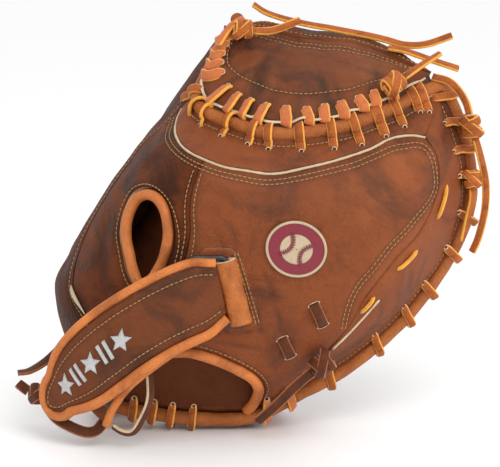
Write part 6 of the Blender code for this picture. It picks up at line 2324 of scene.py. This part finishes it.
def build_stage(look):
    """The camera, the pale floor, the white room and two soft lights."""
    scene = bpy.context.scene
    data = bpy.data.cameras.new("camera")
    data.sensor_width = 36.0
    data.lens = 36.0 * look.distance / look.frame_width
    data.clip_end = 20.0
    camera = bpy.data.objects.new("camera", data)
    target = Vector(look.target)
    away = Vector((0.0, -math.cos(look.elevation), math.sin(look.elevation)))
    camera.location = target + away * look.distance
    camera.rotation_euler = (math.pi / 2 - look.elevation, 0.0, 0.0)
    scene.collection.objects.link(camera)
    scene.camera = camera

    size = 6.0
    mesh = bpy.data.meshes.new("floor")
    mesh.from_pydata([(-size, -size, 0), (size, -size, 0), (size, size, 0), (-size, size, 0)], [], [(0, 1, 2, 3)])
    floor = bpy.data.objects.new("floor", mesh)
    scene.collection.objects.link(floor)
    material, tree, shader = start_material("pale_floor")
    nap = place_group(tree, "Leather nap", Scale=30.0, Streak=0.3)
    pale = mix_node(tree, nap["Value"], (0.945, 0.945, 0.945), (0.955, 0.955, 0.955))
    dial(tree, shader, Base_Color=pale, Roughness=0.45)
    mesh.materials.append(material)

    world = bpy.data.worlds.new("white_room")
    world.use_nodes = True
    world.node_tree.nodes["Background"].inputs["Color"].default_value = (1.0, 1.0, 1.0, 1.0)
    world.node_tree.nodes["Background"].inputs["Strength"].default_value = look.room
    scene.world = world
    aim = (0.0, 0.0, 0.13)
    lamps = [area_light("key", (0.35, -0.95, 1.35), aim, 1.1, look.key), area_light("fill", (1.3, -0.7, 0.5), aim,
        0.8, look.fill)]
    scene.view_settings.view_transform = "Standard"


class MITT_OT_stage(bpy.types.Operator):
    """Mixes the finishes and sets up the camera, the floor and the light"""

    bl_idname = "mitt.stage"
    bl_label = "Stage and finishes"

    def execute(self, context):
        build_materials(context.scene.mitt_colors)
        build_stage(context.scene.mitt_stage)
        return {"FINISHED"}


class MITT_OT_laces(bpy.types.Operator):
    """Makes the lacing's loose ends"""

    bl_idname = "mitt.laces"
    bl_label = "Free laces"

    def execute(self, context):
        build_free_laces()
        return {"FINISHED"}


class MITT_OT_palm(bpy.types.Operator):
    """Makes the padded palm and its lining"""

    bl_idname = "mitt.palm"
    bl_label = "Palm"

    def execute(self, context):
        build_palm_skin()
        return {"FINISHED"}


class MITT_OT_panels(bpy.types.Operator):
    """Makes the sewn panels of the back"""

    bl_idname = "mitt.panels"
    bl_label = "Back panels"

    def execute(self, context):
        build_back_panels()
        return {"FINISHED"}


class MITT_OT_bindings(bpy.types.Operator):
    """Makes the bound edges and the piping"""

    bl_idname = "mitt.bindings"
    bl_label = "Bindings"

    def execute(self, context):
        build_bindings()
        return {"FINISHED"}


class MITT_OT_rolls(bpy.types.Operator):
    """Makes the rolled leather round the edge"""

    bl_idname = "mitt.rolls"
    bl_label = "Edge rolls"

    def execute(self, context):
        build_edge_rolls()
        return {"FINISHED"}


class MITT_OT_web(bpy.types.Operator):
    """Makes the closed web and its top band"""

    bl_idname = "mitt.web"
    bl_label = "Web"

    def execute(self, context):
        build_web_skin()
        return {"FINISHED"}


class MITT_OT_web_lacing(bpy.types.Operator):
    """Makes the straps that lace the web on"""

    bl_idname = "mitt.web_lacing"
    bl_label = "Web lacing"

    def execute(self, context):
        build_web_lacing()
        return {"FINISHED"}


class MITT_OT_edge_loops(bpy.types.Operator):
    """Makes the loops round the mitt's edge"""

    bl_idname = "mitt.edge_loops"
    bl_label = "Edge loops"

    def execute(self, context):
        build_edge_loops()
        return {"FINISHED"}


class MITT_OT_thumb_straps(bpy.types.Operator):
    """Makes the thumb's short straps"""

    bl_idname = "mitt.thumb_straps"
    bl_label = "Thumb straps"

    def execute(self, context):
        build_thumb_straps()
        return {"FINISHED"}


class MITT_OT_stitching(bpy.types.Operator):
    """Sews the back's rows of stitches"""

    bl_idname = "mitt.stitching"
    bl_label = "Stitching"

    def execute(self, context):
        build_back_stitching()
        return {"FINISHED"}


class MITT_OT_strap(bpy.types.Operator):
    """Makes the strap's upper layer"""

    bl_idname = "mitt.strap"
    bl_label = "Wrist strap"

    def execute(self, context):
        build_strap_face()
        return {"FINISHED"}


class MITT_OT_under_strap(bpy.types.Operator):
    """Makes the strap's under layer and closure"""

    bl_idname = "mitt.under_strap"
    bl_label = "Strap's under layer"

    def execute(self, context):
        build_strap_under()
        return {"FINISHED"}


class MITT_OT_ring(bpy.types.Operator):
    """Makes the ring, its keeper and its tab"""

    bl_idname = "mitt.ring"
    bl_label = "Ring and keeper"

    def execute(self, context):
        build_ring_and_keeper()
        return {"FINISHED"}


class MITT_OT_patch(bpy.types.Operator):
    """Makes the embroidered patch"""

    bl_idname = "mitt.patch"
    bl_label = "Round patch"

    def execute(self, context):
        build_round_patch()
        return {"FINISHED"}


class MITT_OT_knots(bpy.types.Operator):
    """Ties the lacing's knots"""

    bl_idname = "mitt.knots"
    bl_label = "Knots"

    def execute(self, context):
        build_tied_knots()
        return {"FINISHED"}


OPERATORS = (
    MITT_OT_stage, MITT_OT_laces, MITT_OT_palm, MITT_OT_panels, MITT_OT_bindings,
    MITT_OT_rolls, MITT_OT_web, MITT_OT_web_lacing, MITT_OT_edge_loops, MITT_OT_thumb_straps,
    MITT_OT_stitching, MITT_OT_strap, MITT_OT_under_strap, MITT_OT_ring, MITT_OT_patch, MITT_OT_knots,
)


class MITT_PT_panel(bpy.types.Panel):
    """Buttons for the mitt's pieces, and its colours"""

    bl_idname = "MITT_PT_panel"
    bl_label = "Mitt"
    bl_space_type = "VIEW_3D"
    bl_region_type = "UI"
    bl_category = "Mitt"

    def draw(self, context):
        for group in (context.scene.mitt_colors, context.scene.mitt_sizes, context.scene.mitt_stage):
            for label in group.bl_rna.properties.keys():
                if label not in ("rna_type", "name"):
                    self.layout.prop(group, label)
        for kind in OPERATORS:
            self.layout.operator(kind.bl_idname)


CLASSES = (MittColors, MittSizes, MittStage) + OPERATORS + (MITT_PT_panel,)


def register():
    for kind in CLASSES:
        bpy.utils.register_class(kind)
    bpy.types.Scene.mitt_colors = PointerProperty(type=MittColors)
    bpy.types.Scene.mitt_sizes = PointerProperty(type=MittSizes)
    bpy.types.Scene.mitt_stage = PointerProperty(type=MittStage)


def unregister():
    del bpy.types.Scene.mitt_stage
    del bpy.types.Scene.mitt_sizes
    del bpy.types.Scene.mitt_colors
    for kind in reversed(CLASSES):
        bpy.utils.unregister_class(kind)


def main():
    """Makes every piece in order."""
    register()
    for kind in OPERATORS:
        getattr(bpy.ops.mitt, kind.bl_idname.split(".")[1])()


if __name__ == "__main__":
    main()
